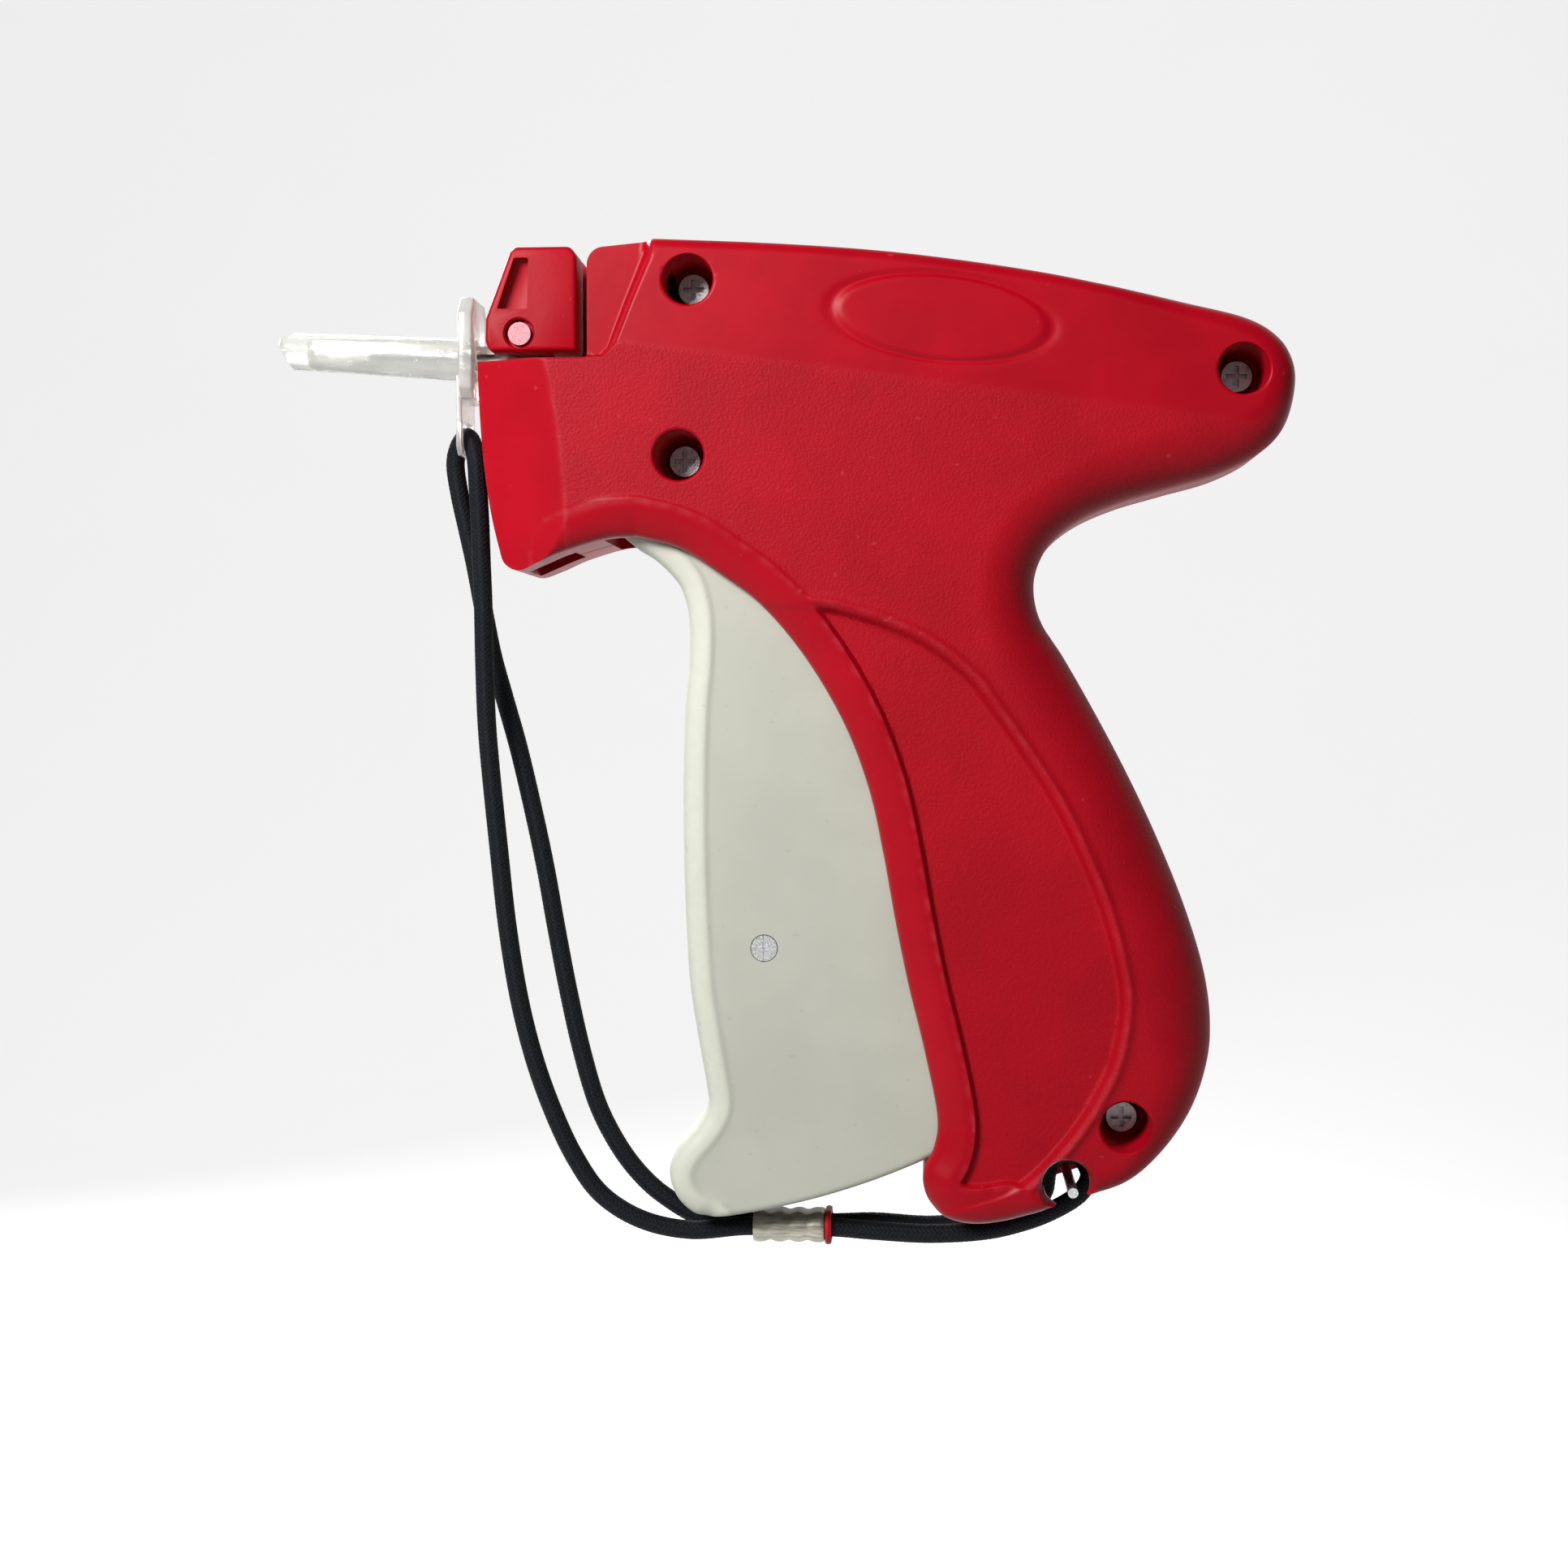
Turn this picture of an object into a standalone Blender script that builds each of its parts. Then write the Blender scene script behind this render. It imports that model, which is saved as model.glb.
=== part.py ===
"""Hand-held garment tagging gun, with a hollow needle, a needle guard and a wrist cord.

Frame: metres, +Z up, the needle points to -X, +Y is the gun's right side and Y = 0 is its mid-plane.
The origin is in the middle of the grip. Sizes below are in millimetres and are drawn through MM.
Every outline is a list of (x, z) points in the mid-plane, joined by smooth runs.
"""

import math

import bmesh
import bpy
from mathutils import Matrix, Vector

MM = 0.001

# Casing
CASING_HALF_WIDTH = 13.5
WALL = 2.2
EDGE_RADIUS = 2.2
FIT = 0.3  # clearance between pieces that rest on or in each other
RUN_STEP = 3.0  # spacing of the points along a smooth run
NECK_X = 20.0
THROAT_Z = 44.0
TAIL_REACH = 33.3  # from the neck to the end of the tail
HANDLE_DROP = 98.0  # from the throat to the heel of the grip
NOSE_HALF_WIDTH = 8.0
NOSE_CREASE_X = -51.0
NOSE_FRONT_X = -63.6
NOSE_TOP_Z = 70.2
HEAD_FRONT_X = -47.5
HEAD_HALF_WIDTH = 9.7

# Trigger and drive
TRIGGER_HALF_WIDTH = 9.2
TRIGGER_WALL = 1.8
TRIGGER_PULL = math.radians(17.0)
TRIGGER_HUB_RADIUS = 4.2
TRIGGER_EDGE_RADIUS = 1.4
TRIGGER_OVERLAP = 2.2  # how far the trigger's sides reach in behind the casing's rim
PIN_RADIUS = 1.5
PIN_PLAY = 0.12
DRIVE_PIN_RADIUS = 1.9
DRIVE_PIN_HEAD = 2.1
LEVER_HALF_THICKNESS = 1.5
LEVER_HUB_RADIUS = 3.8
LEVER_HUB_HALF_WIDTH = 4.0
LEVER_ARM_RADIUS = 2.2
SLOT_RIM = 2.0
PUSHER_STROKE = 40.0
SLIDE_PIN_RADIUS = 1.2
FORK_PLAY = 0.5  # the top pivot is an open fork, and this is its clearance
SLIDE_LENGTH = (-7.6, 7.8)  # in front of and behind its pin
SLIDE_HALF_HEIGHT = 2.4
SLIDE_HALF_WIDTH = 6.5

# Needle line
NEEDLE_Z = 72.0
NEEDLE_RADIUS = 1.1
NEEDLE_BORE = 0.78
NEEDLE_TIP_X = -84.6
PUSHER_RADIUS = 0.6
HUB_RADIUS = 1.8
CLIP_CHANNEL = (-53.5, -43.1)
CLIP_CHANNEL_HALF_WIDTH = 2.25

# Needle lock
LOCK_PIN = (-57.6, 74.35)
LOCK_PIN_RADIUS = 0.9
LOCK_HEAD_RADIUS = 1.65
LOCK_HALF_WIDTH = 8.5
LOCK_BOTTOM_Z = 71.8
LOCK_TOP_Z = 86.8

# Needle guard
GUARD_TILT = math.radians(3.5)
GUARD_BASE = (-66.4, 71.7)
GUARD_LENGTH = 28.4
GUARD_BASE_RADIUS = 3.05
GUARD_TIP_RADIUS = 2.65
GUARD_BASE_BORE = 2.45
GUARD_TIP_BORE = 1.95
GUARD_END_WALL = 4.2
TAB_X = (-67.6, -66.8)
TAB_SLOT_Z = 60.35

# Fasteners and wrist cord
SCREW_SHANK_RADIUS = 1.35
SCREW_HEAD_RADIUS = 2.8
SCREW_HEAD_HEIGHT = 1.9
SCREW_HEAD_DEPTH = 9.0
SCREW_THREAD_REACH = 7.8
SCREW_RECESS_RADIUS = 3.55
CORD_RADIUS = 1.4
CORD_STEP = 5.0
FERRULE_X = (-24.1, -13.6)
FERRULE_WALL = 0.4
STRAND_Y = CORD_RADIUS + 0.25  # each strand's distance from the mid-plane in the ferrule
LANYARD_PIN_RADIUS = 0.75

RED = (0.55, 0.004, 0.02)
CREAM = (0.53, 0.54, 0.46)
STEEL = (0.62, 0.62, 0.64)
BLACK = (0.008, 0.010, 0.014)


def fitted(x, z):
    """A point of the standard outline, moved for the chosen reach of the tail and drop of the handle."""
    if z > THROAT_Z and x > NECK_X:
        x = NECK_X + (x - NECK_X) * TAIL_REACH / 33.3
    if z < THROAT_Z:
        z = THROAT_Z + (z - THROAT_Z) * HANDLE_DROP / 98.0
    return x, z


TRIGGER_PIVOT = fitted(-43.0, 50.0)
DRIVE_PIN = fitted(-22.0, -14.6)
FULCRUM = fitted(12.0, 17.0)
PAWL_PIVOT = (-39.8, 82.4)
LANYARD_PIN = fitted(22.5, -49.3)
FERRULE_Z = fitted(FERRULE_X[0], -56.8)[1]
SCREWS = [fitted(*place) for place in ((-32.6, 81.0), (-33.9, 56.1), (45.7, 67.7), (29.8, -39.3))]

FORK_REACH = NEEDLE_Z - FULCRUM[1]
LEVER_SWING = 2 * math.atan(PUSHER_STROKE / 2 / FORK_REACH)
SLIDE_REST = (FULCRUM[0] + PUSHER_STROKE / 2, NEEDLE_Z)


# Outlines

def smooth_run(knots, step=RUN_STEP):
    """Points about one step apart on a smooth curve through the knots: Catmull-Rom, both ends included."""
    spots = [Vector(knot) for knot in knots]
    spots = [2 * spots[0] - spots[1]] + spots + [2 * spots[-1] - spots[-2]]
    points = []
    for before, start, end, after in zip(spots, spots[1:], spots[2:], spots[3:]):
        pieces = max(1, round((end - start).length / step))
        for index in range(pieces):
            t = index / pieces
            points.append(0.5 * (2 * start + (end - before) * t
                                 + (2 * before - 5 * start + 4 * end - after) * t ** 2
                                 + (3 * start - before - 3 * end + after) * t ** 3))
    return [tuple(point) for point in points] + [tuple(spots[-2])]


def inset(outline, distance):
    """The closed outline moved inwards, without the stretches that would fold over themselves."""
    count = len(outline)
    spots = [Vector(point) for point in outline]
    area = sum(a.x * b.y - b.x * a.y for a, b in zip(spots, spots[1:] + spots[:1]))
    turn = math.copysign(1.0, area)
    moved = []
    for index, spot in enumerate(spots):
        along = (spots[(index + 1) % count] - spots[index - 1]).normalized()
        place = spot + distance * turn * Vector((-along.y, along.x))
        gap = min(distance_to(place, a, b) for a, b in zip(spots, spots[1:] + spots[:1]))
        if gap > 0.97 * distance:
            moved.append(tuple(place))
    return moved


def distance_to(place, start, end):
    """Distance from a point to a straight piece of outline."""
    along = end - start
    share = max(0.0, min(1.0, (place - start).dot(along) / max(along.length_squared, 1e-12)))
    return (start + share * along - place).length


def polar(radius, angle):
    """The point at this radius from the trigger's pivot, at an angle from straight down towards +X."""
    return (TRIGGER_PIVOT[0] + radius * math.sin(angle), TRIGGER_PIVOT[1] - radius * math.cos(angle))


def polar_of(point):
    x, z = point[0] - TRIGGER_PIVOT[0], TRIGGER_PIVOT[1] - point[1]
    return math.hypot(x, z), math.atan2(x, z)


def arc(centre, radius, start, end, pieces):
    """Points on an arc, the angles counted from +X towards +Z."""
    angles = [start + (end - start) * index / pieces for index in range(pieces + 1)]
    return [(centre[0] + radius * math.cos(a), centre[1] + radius * math.sin(a)) for a in angles]


def capsule(path, radius):
    """The outline of a band with round ends along a path."""
    spots = [Vector(point) for point in path]
    left, right = [], []
    for index, spot in enumerate(spots):
        along = (spots[min(index + 1, len(spots) - 1)] - spots[max(index - 1, 0)]).normalized()
        side = radius * Vector((-along.y, along.x))
        left.append(tuple(spot + side))
        right.append(tuple(spot - side))
    last = (spots[-1] - spots[-2]).normalized()
    first = (spots[0] - spots[1]).normalized()
    turn_end = math.atan2(last.y, last.x)
    turn_start = math.atan2(first.y, first.x)
    cap_end = arc(path[-1], radius, turn_end + math.pi / 2, turn_end - math.pi / 2, 8)
    cap_start = arc(path[0], radius, turn_start + math.pi / 2, turn_start - math.pi / 2, 8)
    return left[:-1] + cap_end + right[-2:0:-1] + cap_start


RIM = smooth_run([fitted(*knot) for knot in (
    (1.2, -45.8), (2.7, -42.6), (3.0, -38.1), (1.1, -28.7), (-1.2, -19.3), (-3.1, -10.0), (-4.8, -0.6),
    (-6.9, 8.7), (-10.5, 18.1), (-16.0, 27.4), (-22.3, 34.9), (-28.4, 39.5), (-34.0, 43.0), (-40.2, 44.7))])
NOSE_UNDERSIDE = smooth_run([
    (-40.2, 44.7), (-44.7, 44.4), (-50.5, 42.7), (-54.4, 41.1), (-57.4, 40.0), (-59.6, 41.0), (-60.5, 43.2),
    (-61.9, 49.0), (-62.9, 56.0), (-63.4, 63.0), (NOSE_FRONT_X, NOSE_TOP_Z)])
HEAD_FRONT = [(HEAD_FRONT_X, NOSE_TOP_Z), (HEAD_FRONT_X, 77.0)]
HEAD_FRONT += arc((-45.0, 83.9), 2.5, math.pi, math.pi / 2, 4)
TOP_AND_BACK = smooth_run([fitted(*knot) for knot in (
    (-37.5, 87.1), (-19.5, 86.2), (-2.8, 84.8), (14.6, 82.3), (27.0, 79.8), (37.3, 77.4), (46.2, 75.2),
    (50.8, 72.5), (53.0, 68.9), (53.2, 64.8), (51.8, 59.9), (48.6, 56.4), (43.0, 53.6), (36.0, 51.6),
    (28.8, 49.5), (23.0, 46.9), (19.0, 43.6), (17.0, 39.6), (16.9, 35.6), (18.2, 31.8), (21.2, 27.3),
    (26.5, 18.0), (31.4, 8.6), (35.7, -0.8), (39.3, -10.1), (41.7, -18.5), (42.5, -26.0), (41.6, -32.0),
    (39.2, -37.9), (35.2, -43.3), (30.3, -47.4), (25.0, -49.4), (18.3, -51.6), (13.0, -53.2), (8.3, -53.8),
    (4.4, -53.0), (2.0, -50.8), (1.0, -48.2), (1.2, -45.8))])
CASING = RIM[:-1] + NOSE_UNDERSIDE + HEAD_FRONT + TOP_AND_BACK[:-1]
TRIGGER_FRONT = smooth_run([fitted(*knot) for knot in (
    (-40.2, 43.0), (-37.8, 41.5), (-35.5, 39.3), (-34.0, 37.0), (-33.1, 33.0), (-33.1, 27.0), (-33.7, 20.0),
    (-34.0, 9.0), (-33.9, -3.0), (-33.5, -13.0), (-33.0, -20.5), (-32.0, -27.0), (-30.7, -34.5), (-30.4, -37.6),
    (-31.8, -40.4), (-34.8, -44.0), (-36.1, -47.6), (-35.1, -51.2), (-32.6, -53.7), (-30.2, -54.2))])
TOE = TRIGGER_FRONT[-1]
TOE_RADIUS = polar_of(TOE)[0]


def rim_about_pivot():
    """The rim's points beside the trigger, each as its radius and angle about the trigger's pivot."""
    return [(radius, angle) for radius, angle in map(polar_of, RIM)
            if TRIGGER_HUB_RADIUS + 3.0 < radius < TOE_RADIUS - 0.5]


# Building blocks

def clear_scene():
    for scene_object in list(bpy.data.objects):
        bpy.data.objects.remove(scene_object)


def new_collection(name, hidden=False):
    collection = bpy.data.collections.new(name)
    collection.hide_render = hidden
    bpy.context.scene.collection.children.link(collection)
    return collection


def material(name, colour, roughness, metallic=0.0, alpha=1.0):
    made = bpy.data.materials.new(name)
    made.use_nodes = True
    shader = made.node_tree.nodes["Principled BSDF"]
    shader.inputs["Base Color"].default_value = (*colour, 1.0)
    shader.inputs["Roughness"].default_value = roughness
    shader.inputs["Metallic"].default_value = metallic
    shader.inputs["Alpha"].default_value = alpha
    made.diffuse_color = (*colour, alpha)
    return made


def add(name, mesh, collection):
    made = bpy.data.objects.new(name, mesh)
    collection.objects.link(made)
    if collection is CUTTERS:
        made.hide_render = True
        made.display_type = "WIRE"
    return made


def from_bmesh(name, shape, collection):
    bmesh.ops.recalc_face_normals(shape, faces=shape.faces)
    mesh = bpy.data.meshes.new(name)
    shape.to_mesh(mesh)
    shape.free()
    return add(name, mesh, collection)


def made_mesh(curve_object, collection):
    """The curve's solid as a mesh object of the same name, its caps welded and its place in its mesh."""
    bpy.context.view_layer.update()
    evaluated = curve_object.evaluated_get(bpy.context.evaluated_depsgraph_get())
    mesh = bpy.data.meshes.new_from_object(evaluated)
    mesh.transform(curve_object.matrix_world)
    name = curve_object.name
    bpy.data.objects.remove(curve_object)
    shape = bmesh.new()
    shape.from_mesh(mesh)
    bpy.data.meshes.remove(mesh)
    bmesh.ops.remove_doubles(shape, verts=shape.verts, dist=0.002 * MM)
    return from_bmesh(name, shape, collection)


def flat_curve(name, outlines):
    curve = bpy.data.curves.new(name, "CURVE")
    curve.dimensions = "2D"
    curve.fill_mode = "BOTH"
    for outline in outlines:
        spline = curve.splines.new("POLY")
        spline.points.add(len(outline) - 1)
        for point, (across, up) in zip(spline.points, outline):
            point.co = (across * MM, up * MM, 0.0, 1.0)
        spline.use_cyclic_u = True
    return curve


def prism(name, outlines, low, high, collection, edge=0.0):
    """A plate whose outline lies in the XZ plane, from y = low to y = high, with rounded edges if asked."""
    curve = flat_curve(name, outlines)
    curve.extrude = ((high - low) / 2 - edge) * MM
    curve.bevel_depth = edge * MM
    curve.bevel_resolution = 2
    curve.offset = -edge * MM
    made = add(name, curve, collection)
    made.rotation_euler = (math.pi / 2, 0.0, 0.0)
    made.location = (0.0, (low + high) / 2 * MM, 0.0)
    return made_mesh(made, collection)


def prism_along_x(name, outlines, low, high, collection):
    """A bar whose outline lies in the YZ plane, from x = low to x = high."""
    curve = flat_curve(name, outlines)
    curve.extrude = (high - low) / 2 * MM
    made = add(name, curve, collection)
    made.rotation_euler = (math.pi / 2, 0.0, math.pi / 2)
    made.location = ((low + high) / 2 * MM, 0.0, 0.0)
    return made_mesh(made, collection)


def box(name, low, high, collection):
    shape = bmesh.new()
    bmesh.ops.create_cube(shape, size=1.0)
    size = [b - a for a, b in zip(low, high)]
    middle = [(a + b) / 2 * MM for a, b in zip(low, high)]
    bmesh.ops.scale(shape, vec=[side * MM for side in size], verts=shape.verts)
    bmesh.ops.translate(shape, vec=middle, verts=shape.verts)
    return from_bmesh(name, shape, collection)


def cone(name, start, end, start_radius, end_radius, collection, sides=24):
    """A round bar or taper between two points."""
    start, end = Vector(start) * MM, Vector(end) * MM
    shape = bmesh.new()
    bmesh.ops.create_cone(shape, cap_ends=True, segments=sides, radius1=start_radius * MM,
                          radius2=end_radius * MM, depth=(end - start).length)
    turn = (end - start).to_track_quat("Z", "Y").to_matrix().to_4x4()
    bmesh.ops.transform(shape, matrix=Matrix.Translation((start + end) / 2) @ turn, verts=shape.verts)
    return from_bmesh(name, shape, collection)


def cross_pin(name, place, radius, low, high, collection, sides=24):
    """A round bar along Y through a point of the mid-plane."""
    return cone(name, (place[0], low, place[1]), (place[0], high, place[1]), radius, radius, collection, sides)


def rod_along_x(name, low, high, radius, collection, z=NEEDLE_Z, sides=16):
    return cone(name, (low, 0.0, z), (high, 0.0, z), radius, radius, collection, sides)


def combine(target, operation, *tools):
    for tool in tools:
        modifier = target.modifiers.new(tool.name, "BOOLEAN")
        modifier.operation = operation
        modifier.object = tool


def cut(target, *tools):
    combine(target, "DIFFERENCE", *tools)


def join(target, *tools):
    combine(target, "UNION", *tools)


def finish(piece, look, smooth=True):
    """Gives a piece its material, and smooth shading where it is round."""
    piece.data.materials.append(look)
    if smooth:
        piece.data.shade_smooth()
        piece.data.set_sharp_from_angle(angle=math.radians(35))
    return piece


def move_origin(piece, place):
    """Puts a moving piece's origin on its joint's axis, with the shape where it was."""
    offset = Vector((place[0], 0.0, place[1])) * MM
    piece.data.transform(Matrix.Translation(-offset))
    piece.location = offset


# Casing

def casing_cavity():
    """The hollow that both shells share: the outline less one wall, solid in the nose and at the head."""
    depth = CASING_HALF_WIDTH - WALL
    cavity = prism("cavity", [inset(CASING, WALL)], -depth, depth, CUTTERS)
    cut(cavity, box("nose_block", (-70.0, -20.0, 30.0), (HEAD_FRONT_X - 2.0, 20.0, 100.0), CUTTERS))
    cut(cavity, box("head_block", (-50.0, -20.0, 68.0), (-36.0, 20.0, 100.0), CUTTERS))
    return cavity


def casing_cutters():
    """What is cut from both shells alike, as they stand together."""
    half = TRIGGER_HALF_WIDTH + 2 * FIT
    rim = rim_about_pivot()
    rim.insert(0, (TOE_RADIUS + 2 * FIT, rim[0][1]))
    low = [polar(radius, angle - 5.0 / max(radius, 12.0)) for radius, angle in rim]
    high = [polar(radius, angle + (WALL + 1.2) / max(radius, 12.0)) for radius, angle in rim]
    x, z = TRIGGER_PIVOT
    mouth = [(x - 1.4, z - 9.0), (x - 3.5, z + 1.0), (x + 4.6, z + 1.4)]
    opening = low + mouth + high[::-1]
    hub_room = cross_pin("hub_room", TRIGGER_PIVOT, TRIGGER_HUB_RADIUS + FIT, -half, half, CUTTERS)
    left, right = CLIP_CHANNEL
    across = CLIP_CHANNEL_HALF_WIDTH
    tools = [
        prism("trigger_opening", [opening], -half, half, CUTTERS),
        hub_room,
        box("head_cavity", (HEAD_FRONT_X + 2.0, -7.4, 66.0), (-35.5, 7.4, 84.2), CUTTERS),
        box("clip_way", (left, -across, 67.0), (right, across, 95.0), CUTTERS),
        box("spine_way", (-54.1, -across, 46.0), (-49.9, across, 75.0), CUTTERS),
        box("spine_exit", (-56.8, -5.0, 35.0), (-49.9, 5.0, 46.5), CUTTERS),
        box("carrier_pocket", (-60.2 - FIT, -3.5, 62.2), (-54.3, 3.5, 75.0), CUTTERS),
        rod_along_x("hub_groove", -70.0, -60.0, HUB_RADIUS + FIT, CUTTERS),
        rod_along_x("pusher_way", -60.0, 0.0, PUSHER_RADIUS + FIT, CUTTERS),
        cross_pin("pivot_socket", TRIGGER_PIVOT, PIN_RADIUS + FIT / 2, -11.2, 11.2, CUTTERS),
        cross_pin("fulcrum_socket", FULCRUM, PIN_RADIUS + FIT / 2, -11.2, 11.2, CUTTERS),
        cross_pin("pawl_socket", PAWL_PIVOT, 0.8, -8.6, 8.6, CUTTERS, 12),
        box("lanyard_room", (LANYARD_PIN[0] - 5.8, -9.2, LANYARD_PIN[1] - 8.0),
            (LANYARD_PIN[0] + 4.9, 9.2, LANYARD_PIN[1] + 5.0), CUTTERS),
        cross_pin("lanyard_socket", LANYARD_PIN, LANYARD_PIN_RADIUS + 0.1, -11.0, 11.0, CUTTERS, 12)]
    for side in (-1, 1):
        tools += side_cutters(side)
    return tools


def side_cutters(side):
    """Cuts on one side's outer face: the nose's slant, the narrower head, and the lanyard hollow's mouth."""
    name = "left" if side < 0 else "right"
    outer, step = side * (CASING_HALF_WIDTH + 2), side * CASING_HALF_WIDTH
    slant = [(NOSE_CREASE_X, step), (NOSE_FRONT_X, side * NOSE_HALF_WIDTH),
             (NOSE_FRONT_X - 4.0, side * (NOSE_HALF_WIDTH - 1.7)), (NOSE_FRONT_X - 4.0, outer),
             (NOSE_CREASE_X, outer)]
    wedge = upright_prism(f"nose_slant_{name}", slant, 36.0, NOSE_TOP_Z + 1.0)
    head = side * HEAD_HALF_WIDTH
    shelf = prism(f"head_step_{name}", [[(-60.0, NOSE_TOP_Z), (-44.6, NOSE_TOP_Z), (-42.7, 72.0), (-40.6, 78.0),
                                         (-37.9, 85.0), (-37.2, 95.0), (-60.0, 95.0)]],
                  min(head, outer), max(head, outer), CUTTERS)
    mouth_middle = (LANYARD_PIN[0] - 0.9, LANYARD_PIN[1] + 1.9)
    mouth = cone(f"lanyard_mouth_{name}", (mouth_middle[0], side * 10.9, mouth_middle[1]),
                 (mouth_middle[0], side * 14.0, mouth_middle[1]), 3.2, 4.2, CUTTERS)
    return [wedge, shelf, mouth]


def upright_prism(name, outline, low, high):
    """A column whose outline lies in the XY plane."""
    curve = flat_curve(name, [outline])
    curve.extrude = (high - low) / 2 * MM
    made = add(name, curve, CUTTERS)
    made.location = (0.0, 0.0, (low + high) / 2 * MM)
    return made_mesh(made, CUTTERS)


def boss(name, place, radius, side, start):
    """A round post from inside a shell's side wall inwards to start."""
    ends = sorted((side * start, side * (CASING_HALF_WIDTH - 0.8)))
    return cross_pin(name, place, radius, *ends, CUTTERS)


def shell(side, cavity, cutters, look):
    name = "left_shell" if side < 0 else "right_shell"
    half_width = CASING_HALF_WIDTH
    piece = prism(name, [CASING], -half_width, half_width, PARTS, EDGE_RADIUS)
    cut(piece, cavity)
    posts = [boss(f"{name}_pivot_post", TRIGGER_PIVOT, 3.4, side, TRIGGER_HALF_WIDTH + 2 * FIT + 0.1),
             boss(f"{name}_fulcrum_post", FULCRUM, 3.4, side, TRIGGER_HALF_WIDTH + 2 * FIT)]
    screw_radius = SCREW_RECESS_RADIUS + 1.1 if side < 0 else 3.4
    posts += [boss(f"{name}_screw_post_{index}", place, screw_radius, side, -1.0)
              for index, place in enumerate(SCREWS)]
    ribs = [((-30.2, 67.0), (-28.2, 77.0), 0.0), ((-16.0, 67.4), (40.0, 69.3), 5.0),
            ((-16.0, 75.0), (24.0, 76.4), 5.0)]
    for index, (low, high, start) in enumerate(ribs):
        ends = sorted((side * start, side * (half_width - 0.8)))
        corners = (low[0], ends[0], low[1]), (high[0], ends[1], high[1])
        posts.append(box(f"{name}_rib_{index}", *corners, CUTTERS))
    ends = sorted((side * 9.3, side * (half_width - 1.2)))
    ear = [(LANYARD_PIN[0] - 1.6, LANYARD_PIN[1] + 9.0)] + arc(LANYARD_PIN, 1.6, math.pi, 2 * math.pi, 8)
    ear += [(LANYARD_PIN[0] + 1.6, LANYARD_PIN[1] + 9.0)]
    posts.append(prism(f"{name}_ear", [ear], *ends, CUTTERS))
    join(piece, *posts)
    cut(piece, *cutters)
    for index, place in enumerate(SCREWS):
        if side < 0:
            seat = -(half_width - SCREW_HEAD_DEPTH - SCREW_HEAD_HEIGHT - FIT)
            cut(piece,
                cross_pin(f"recess_{index}", place, SCREW_RECESS_RADIUS, -half_width - 1, seat, CUTTERS, 32),
                cross_pin(f"clear_hole_{index}", place, SCREW_SHANK_RADIUS + FIT, seat - 1, 1.0, CUTTERS))
        else:
            cut(piece, cross_pin(f"pilot_{index}", place, SCREW_SHANK_RADIUS + 0.2, -1.0,
                                 SCREW_THREAD_REACH + 0.6, CUTTERS))
    ends = sorted((side * FIT / 2, side * (half_width + 5.0)))
    half = box(f"{name}_half", (-100.0, ends[0], -150.0), (120.0, ends[1], 120.0), CUTTERS)
    combine(piece, "INTERSECT", half)
    return finish(piece, look)


def casing_screw(index, place, look):
    """A pan-head screw with a cross recess, driven from the left."""
    top = -(CASING_HALF_WIDTH - SCREW_HEAD_DEPTH)
    seat = top + SCREW_HEAD_HEIGHT
    piece = cross_pin(f"casing_screw_{index}", place, SCREW_SHANK_RADIUS, seat - 0.5, SCREW_THREAD_REACH,
                      PARTS, 16)
    head = cone(f"screw_head_{index}", (place[0], seat, place[1]), (place[0], top, place[1]),
                SCREW_HEAD_RADIUS, SCREW_HEAD_RADIUS - 0.6, CUTTERS)
    join(piece, head)
    for turn, (wide, high) in enumerate(((3.0, 0.7), (0.7, 3.0))):
        cut(piece, box(f"screw_cross_{index}_{turn}", (place[0] - wide / 2, top - 1, place[1] - high / 2),
                       (place[0] + wide / 2, top + 1.0, place[1] + high / 2), CUTTERS))
    return finish(piece, look)


# Trigger and drive

def trigger_outline():
    """The trigger's side: its front, the arc of its foot, a rear edge inside the rim, and its top."""
    rear = [polar(radius, angle + TRIGGER_OVERLAP / radius) for radius, angle in rim_about_pivot()]
    foot_end = polar_of(rear[0])[1]
    toe_angle = polar_of(TOE)[1]
    foot = [polar(TOE_RADIUS, toe_angle + (foot_end - toe_angle) * index / 12) for index in range(1, 13)]
    x, z = TRIGGER_PIVOT
    return TRIGGER_FRONT + foot + rear + [(x + 3.6, z + 1.0), (x - 2.6, z - 2.4)]


def trigger(look):
    half = TRIGGER_HALF_WIDTH
    outline = trigger_outline()
    piece = prism("trigger", [outline], -half, half, PARTS, TRIGGER_EDGE_RADIUS)
    join(piece, cross_pin("trigger_hub", TRIGGER_PIVOT, TRIGGER_HUB_RADIUS, -half, half, CUTTERS))
    inner = half - TRIGGER_WALL
    cut(piece, prism("trigger_hollow", [trigger_hollow(outline)], -inner, inner, CUTTERS),
        cross_pin("trigger_bore", TRIGGER_PIVOT, PIN_RADIUS + PIN_PLAY, -half - 1, half + 1, CUTTERS),
        cross_pin("drive_pin_bore", DRIVE_PIN, DRIVE_PIN_RADIUS + 0.15, -half - 1, half + 1, CUTTERS))
    move_origin(piece, TRIGGER_PIVOT)
    return finish(piece, look)


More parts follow.
